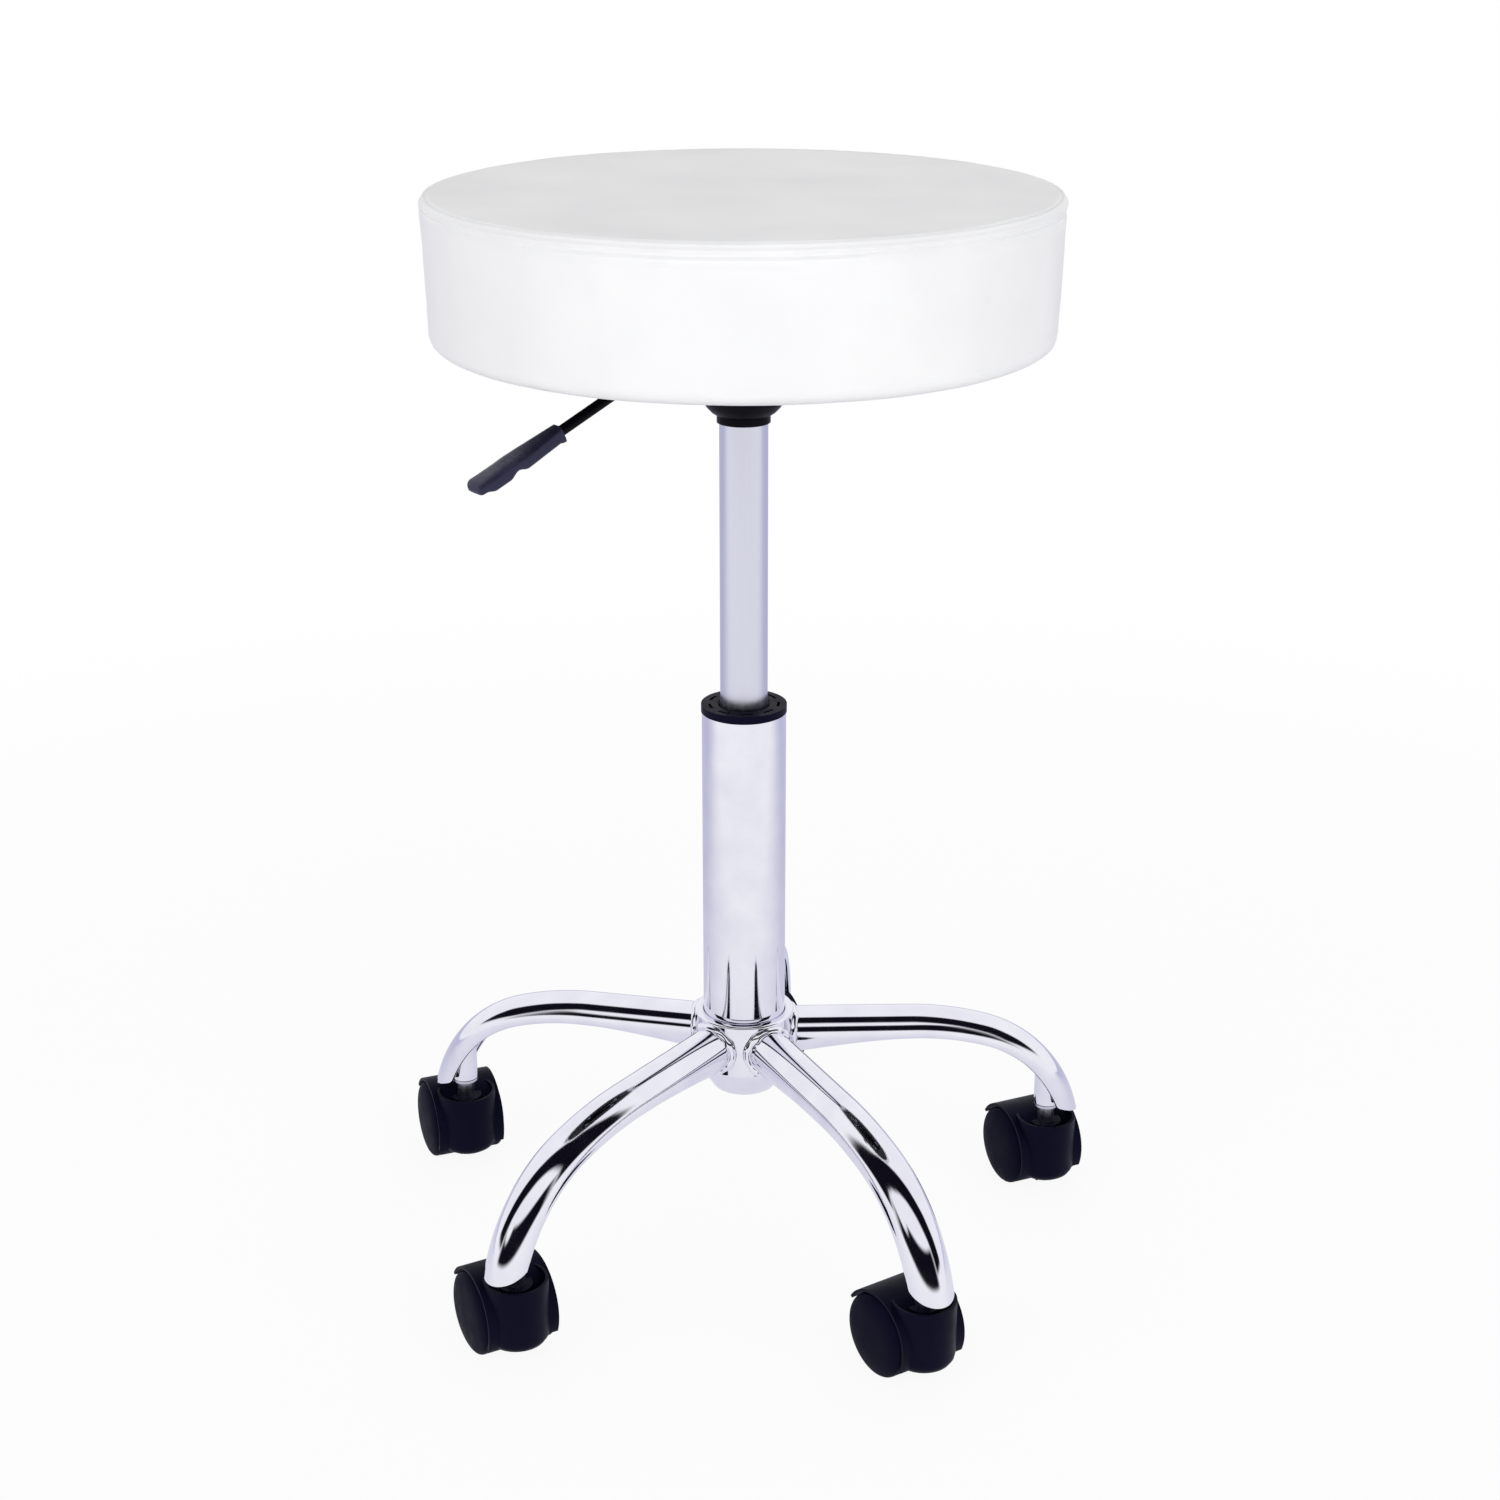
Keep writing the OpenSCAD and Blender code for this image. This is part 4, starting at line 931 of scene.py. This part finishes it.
def finished_copy(name, node, material, body, edge):
    """The node's triangles, welded and joined where nearly flat, with a bevel along its edges."""
    solid = frame["nodes"][node].data
    points, corners = np.zeros(len(solid.vertices) * 3), np.zeros(len(solid.loops), int)
    solid.vertices.foreach_get("co", points)
    solid.loops.foreach_get("vertex_index", corners)
    piece = piece_of(name, points.reshape(-1, 3), corners.reshape(-1, 3).tolist(), material, body,
                     BEVEL_ANGLE, weld=1e-6, flat=1)
    bevel = piece.modifiers.new("edge", "BEVEL")
    bevel.width, bevel.segments, bevel.limit_method = edge, 2, "ANGLE"
    bevel.angle_limit = math.radians(BEVEL_ANGLE)
    bevel.harden_normals = True
    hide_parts(node)
    return piece


for place in LEG_ANGLES:
    finished_copy("hood_" + place, "castor_hood_" + place, black_nylon, "castor_" + place,
                  0.3 * MM)
finished_copy("bell_socket", "taper_socket", coat, "seat", 0.3 * MM)
finished_copy("plate", "seat_plate", coat, "seat", 0.4 * MM)
finished_copy("bush", "guide_bush", black_nylon, "base", 0.25 * MM)
print("finished: five castor hoods, bell socket, plate and guide bush")

# %% [markdown]
# ## Castor wheels
# A twin-wheel castor has two hollow drums whose outer ends are domed. The tread is a flat strip, and
# a fine groove parts it from the dome, where the two halves of the mould met. The dome's outline is
# a quarter ellipse with a slightly squarer shoulder: cosine and sine raised to a power below one.

# %% Make the ten wheels
WHEEL_IN, WHEEL_OUT = 7 * MM, 25.5 * MM
TREAD_SHARE = 0.68
DOME_POWER = 0.72
DOME_POINTS, DOME_CROWDING, WHEEL_AROUND = 24, 0.8, 96
RIM_WALL, WHEEL_WEB, WHEEL_HUB_R, AXLE_R, AXLE_END = 4 * MM, 3 * MM, 7 * MM, 3.05 * MM, 21.3 * MM
GROOVE = 0.45 * MM
TREAD_SHOULDER, WHEEL_EDGE, HOLLOW_EDGE = 0.2 * MM, 1 * MM, 0.4 * MM


def joint_row(name):
    """A joint of the frame, by name."""
    return next(row for row in frame["record"]["behaviour"]["joints"] if row["name"] == name)


WHEEL_R = joint_row("wheel_a_back_roll")["pos_m"][2]


def wheel_profile():
    """From the dome's middle, out over the shoulder and tread, and back in over the hollow side."""
    tread_out = WHEEL_IN + TREAD_SHARE * (WHEEL_OUT - WHEEL_IN)
    turn = np.radians(90 * np.linspace(1, 0, DOME_POINTS) ** DOME_CROWDING)
    dome = np.stack([WHEEL_R * np.cos(turn) ** DOME_POWER,
                     tread_out + (WHEEL_OUT - tread_out) * np.sin(turn) ** DOME_POWER], axis=1)
    tread = soften([dome[-1], (WHEEL_R, tread_out - TREAD_SHOULDER),
                    (WHEEL_R - GROOVE, tread_out - GROOVE), (WHEEL_R - GROOVE, tread_out - 2 * GROOVE),
                    (WHEEL_R, tread_out - 3 * GROOVE), (WHEEL_R, WHEEL_IN),
                    (WHEEL_R - RIM_WALL, WHEEL_IN)], WHEEL_EDGE, 3)
    deep = tread_out - WHEEL_WEB
    hollow = soften([(WHEEL_R - RIM_WALL, WHEEL_IN), (WHEEL_R - RIM_WALL, deep), (WHEEL_HUB_R, deep),
                     (WHEEL_HUB_R, WHEEL_IN), (AXLE_R, WHEEL_IN), (AXLE_R, AXLE_END), (0, AXLE_END)],
                    HOLLOW_EDGE, 2)
    return np.concatenate([dome[:-1], tread[:-1], hollow])


def wheel_grid(row, side):
    """The profile turned about the axle, on one side of the castor."""
    across = np.array(row["axis"]) * side
    up = np.array([0, 0, 1])
    ahead = np.cross(across, up)
    shape = turned(wheel_profile(), WHEEL_AROUND)
    return np.array(row["pos_m"]) + shape @ np.stack([ahead, up, across])


for place in LEG_ANGLES:
    for letter, side in (("a", 1), ("b", -1)):
        name = "wheel_%s_%s" % (letter, place)
        wheel = surface(name + "_moulding", wheel_grid(joint_row(name + "_roll"), side), tread_nylon, name)
        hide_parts(name)
print("wheels: ten, %d faces each" % len(wheel.data.polygons))

# %% [markdown]
# ## Lever
# The lever is bent from one length of round bar, so its corner is a soft curve. The bar is a circle
# carried along that line, and it is drawn in the lever's own plane, which its hinge gives.

# %% Lever bar
ROD_R = 3 * MM
LEVER_END, BEND_X, ARM_DROP, ARM_LEN, GRIP_LEN = 5 * MM, 69 * MM, 24, 60 * MM, 60 * MM
ROD_IN_GRIP_SHARE = 0.42
SOFT_BEND, BAR_STEP = 11 * MM, 1.5 * MM
SOFT_STEPS, BAR_AROUND = 14, 32
hinge = joint_row("lever_tilt")
lever_out = np.array([-hinge["axis"][1], hinge["axis"][0], 0])
lever_z = hinge["pos_m"][2]
arm = np.array([math.cos(math.radians(ARM_DROP)), -math.sin(math.radians(ARM_DROP))])


def in_lever_plane(line):
    """Points of (outwards, up) as places in the frame."""
    return line[:, :1] * lever_out + line[:, 1:] * np.array([0, 0, 1])


corner = np.array([BEND_X, lever_z])
bar_line = soften([(-LEVER_END, lever_z), corner, corner + arm * (ARM_LEN + ROD_IN_GRIP_SHARE * GRIP_LEN)],
                  SOFT_BEND, SOFT_STEPS)
bar_path = in_lever_plane(steps_along(bar_line, BAR_STEP))
bar_grid = capped(along_path(bar_path, np.array([0, 0, 1]), circle(ROD_R, BAR_AROUND)))
bar = surface("lever_bar", bar_grid, coat, "lever", sharp=50)
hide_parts("lever_rod")
print("lever bar: %d rings" % len(bar_path))

# %% [markdown]
# The grip is a flat paddle pushed over the bar's end. It widens from its mouth to the palm and ends in
# a blunt nose. Its section is a rounded rectangle, written as a superellipse, and finger notches are
# moulded into its underside, each one a raised cosine.

# %% Lever grip
GRIP_H, GRIP_W, GRIP_MOUTH_W, MOUTH_LIP = 9 * MM, 16 * MM, 9.5 * MM, 1.2 * MM
PALM_SHARE = 0.44
NOSE_CORNER = 3.5 * MM
NOTCH_DEPTH, NOTCH_HALF = 2.4 * MM, 6.5 * MM
NOTCH_SHARES = (0.57, 0.94)
SQUARE_POWER = 0.5
BODY_RINGS, NOSE_RINGS, GRIP_AROUND = 90, 14, 40
NOSE_ANGLES = (6, 89)


def grip_grid():
    """Rings along the grip: the plan widens to the palm, and notches lift the underside.

    The nose closes as a quarter circle in the side view, and its corners as smaller ones in the plan.
    """
    nose = GRIP_H / 2
    body = np.linspace(0, GRIP_LEN - nose, BODY_RINGS)
    cap = GRIP_LEN - nose + nose * np.sin(np.radians(np.linspace(*NOSE_ANGLES, NOSE_RINGS)))
    x = np.concatenate([body, cap])
    close = np.sqrt(1 - np.clip((x - GRIP_LEN + nose) / nose, 0, 1) ** 2)
    notch = sum(np.cos(np.clip((x - share * GRIP_LEN) / NOTCH_HALF, -1, 1) * np.pi / 2) ** 2
                for share in NOTCH_SHARES)
    lip = MOUTH_LIP * np.clip(1 - (x / (3 * MOUTH_LIP)) ** 2, 0, 1)
    corner_close = NOSE_CORNER * (1 - np.sqrt(1 - np.clip((x - GRIP_LEN) / NOSE_CORNER + 1, 0, 1) ** 2))
    wide = GRIP_MOUTH_W + (GRIP_W - GRIP_MOUTH_W) * np.clip(x / (PALM_SHARE * GRIP_LEN), 0, 1)
    top = GRIP_H / 2 * close
    bottom = -GRIP_H / 2 * close - lip + NOTCH_DEPTH * notch * close
    turn = full_turn(GRIP_AROUND)
    squared = [np.sign(f(turn)) * np.abs(f(turn)) ** SQUARE_POWER for f in (np.cos, np.sin)]
    ring = np.stack([(wide / 2 - corner_close)[:, None] * squared[0],
                     (top + bottom)[:, None] / 2 + (top - bottom)[:, None] / 2 * squared[1]], axis=2)
    line = corner + arm * (ARM_LEN + x[:, None])
    return capped(along_path(in_lever_plane(line), np.array([0, 0, 1]), ring))


grip = surface("grip", grip_grid(), grip_nylon, "lever", sharp=60)
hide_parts("lever_grip")
print("grip: %.0f mm long" % (GRIP_LEN / MM))

# %% [markdown]
# ## Floor, world and lamps
# The stool was photographed on white. The camera sees floor and world as white through Light Path,
# reflections see a white floor and the studio described below, and the light that falls on the
# stool stays at a plain level. Near the stool the floor keeps part of its own shading, so the shadow
# still shows, and further out it turns all white, so no edge shows where the floor meets the
# background. What chrome mirrors of the floor falls off to lavender behind the stool, away from
# the lights, and that draws the tubes' edges.

# %% Floor
FLOOR_SIZE = 12.0
WHITE_SHARE = 0.92
ALL_WHITE_FROM, ALL_WHITE_AT = 0.5, 1.6
FLOOR_BEHIND = "#cacae0"
BEHIND = (-0.1, 0.99, 0)
BEHIND_FROM, BEHIND_AT = -0.5, 0.6


def pale_floor():
    material, tree, shader, coords = base_material("painted_white_floor", "#f4f4f4", 0.7)
    seen = add(tree, "ShaderNodeLightPath")
    apart = add(tree, "ShaderNodeVectorMath", {"operation": "DOT_PRODUCT"}, _0=coords, _1=BEHIND)
    behind = ramp(tree, apart.outputs["Value"], BEHIND_FROM, BEHIND_AT)
    mirrored = maths(tree, "MULTIPLY", seen.outputs["Is Glossy Ray"], behind)
    flat_white = add(tree, "ShaderNodeEmission", Color=tinted(tree, mirrored, "#ffffff", FLOOR_BEHIND),
                     Strength=1.0)
    either = maths(tree, "MAXIMUM", seen.outputs["Is Camera Ray"], seen.outputs["Is Glossy Ray"])
    away = add(tree, "ShaderNodeVectorMath", {"operation": "LENGTH"}, _0=coords).outputs["Value"]
    share = maths(tree, "MULTIPLY", either, ramp(tree, away, ALL_WHITE_FROM, ALL_WHITE_AT, WHITE_SHARE))
    mixed = add(tree, "ShaderNodeMixShader", _0=share, _1=shader.outputs[0], _2=flat_white.outputs[0])
    tree.links.new(mixed.outputs[0], tree.nodes["Material Output"].inputs["Surface"])
    return material


half_floor = FLOOR_SIZE / 2
floor_mesh = bpy.data.meshes.new("floor")
floor_mesh.from_pydata([(-half_floor, -half_floor, 0), (half_floor, -half_floor, 0),
                        (half_floor, half_floor, 0), (-half_floor, half_floor, 0)], [], [(0, 1, 2, 3)])
floor_mesh.materials.append(pale_floor())
floor = placed("floor", floor_mesh)
print("floor: %.0f m square" % FLOOR_SIZE)

# %% [markdown]
# Chrome has no colour of its own, so it needs something dark to reflect. Two things are dark in a white
# studio: the unlit room behind the camera, from level to 30 degrees up, and the gap in the ceiling
# between the front lights and the overhead one. That gap is a strip from left to right. In the two side
# legs it is a line, and in the two front legs, which run across it, a broad band. Lamp stands and
# cables make its edges a little ragged. Two front softboxes stand out white against the dark. All of
# these are part of the world, and only reflections see them.

# %% World
ROOM_DARK = "#100e18"
ROOM_LOW, ROOM_TOP = -0.02, 0.5
ROOM_FROM, ROOM_RUN = -0.45, -0.2
GAP_FRONT, GAP_BACK = -0.56, -0.02
GAP_LOW = 0.12
SOFTNESS = 0.09
RAGGED = 0.08
RAGGED_LUMP = 0.3
BOX_DIRECTIONS = [(-0.6, -0.67, 0.45), (0.65, -0.6, 0.42)]
BOX_COSINE, BOX_EDGE = 0.978, 0.02
FILL_LEVEL = 0.45

world = bpy.data.worlds.new("studio")
bpy.context.scene.world = world
world.use_nodes = True
tree = world.node_tree
tree.nodes.clear()


def past(value, start, run):
    """0 until the value reaches start, and 1 once it is past it by run, with a soft step between."""
    return ramp(tree, value, start, start + run)


gaze = add(tree, "ShaderNodeTexCoord").outputs["Generated"]
direction = add(tree, "ShaderNodeSeparateXYZ", Vector=gaze)
shift = maths(tree, "MULTIPLY_ADD", noise(tree, gaze, RAGGED_LUMP, 5.0), RAGGED)
shift.node.inputs[2].default_value = -RAGGED / 2
uneven_y = maths(tree, "ADD", direction.outputs["Y"], shift)
room_height = maths(tree, "MULTIPLY", past(direction.outputs["Z"], ROOM_TOP, -SOFTNESS),
                    past(direction.outputs["Z"], ROOM_LOW, SOFTNESS))
room = maths(tree, "MULTIPLY", past(direction.outputs["Y"], ROOM_FROM, ROOM_RUN), room_height)
gap_width = maths(tree, "MULTIPLY", past(uneven_y, GAP_BACK, -SOFTNESS),
                  past(uneven_y, GAP_FRONT, SOFTNESS))
gap = maths(tree, "MULTIPLY", past(direction.outputs["Z"], GAP_LOW, SOFTNESS), gap_width)
dark_share = maths(tree, "MAXIMUM", room, gap)
for towards in BOX_DIRECTIONS:
    facing = add(tree, "ShaderNodeVectorMath", {"operation": "DOT_PRODUCT"}, _0=gaze, _1=towards)
    outside = past(facing.outputs["Value"], BOX_COSINE + BOX_EDGE, -BOX_EDGE)
    dark_share = maths(tree, "MULTIPLY", dark_share, outside)
surroundings = add(tree, "ShaderNodeMix", {"data_type": "RGBA"}, _0=dark_share, _6=(1, 1, 1, 1),
                   _7=linear(ROOM_DARK))
path_seen = add(tree, "ShaderNodeLightPath")
white = add(tree, "ShaderNodeBackground", Color=(1, 1, 1, 1), Strength=1.0)
mirrored = add(tree, "ShaderNodeBackground", Color=surroundings.outputs[2], Strength=1.0)
fill = add(tree, "ShaderNodeBackground", Color=(1, 1, 1, 1), Strength=FILL_LEVEL)
unlit = add(tree, "ShaderNodeMixShader", _0=path_seen.outputs["Is Glossy Ray"], _1=fill.outputs[0],
            _2=mirrored.outputs[0])
shown = add(tree, "ShaderNodeMixShader", _0=path_seen.outputs["Is Camera Ray"], _1=unlit.outputs[0],
            _2=white.outputs[0])
add(tree, "ShaderNodeOutputWorld", Surface=shown.outputs[0])
print("world: fill %.2f" % FILL_LEVEL)


# %% Lamps
def softbox(name, place, towards, size, watts):
    """An area lamp that faces a point. Reflections see the world's white instead of it."""
    data = bpy.data.lights.new(name, "AREA")
    data.shape, data.size, data.size_y, data.energy = "RECTANGLE", size[0], size[1], watts
    lamp = placed(name, data)
    lamp.location = place
    aim = np.array(towards) - np.array(place)
    lamp.rotation_euler = (math.atan2(math.hypot(aim[0], aim[1]), -aim[2]), 0,
                           math.atan2(-aim[0], aim[1]))
    lamp.visible_glossy = False


SEAT_MIDDLE = (0, 0, 0.45)
softbox("front_left_softbox", (-1.9, -2.1, 1.3), SEAT_MIDDLE, (2.2, 2.2), 34.5)
softbox("front_right_softbox", (2.1, -1.9, 1.2), SEAT_MIDDLE, (2.2, 2.2), 36.5)
softbox("overhead_softbox", (0.2, 0.9, 2.4), SEAT_MIDDLE, (1.8, 1.8), 7.5)
print("lamps: three softboxes")

# %% [markdown]
# The colours above are written as they should look, so the view keeps them as they are.

# %% View
bpy.context.scene.view_settings.view_transform = "Standard"
bpy.context.view_layer.update()
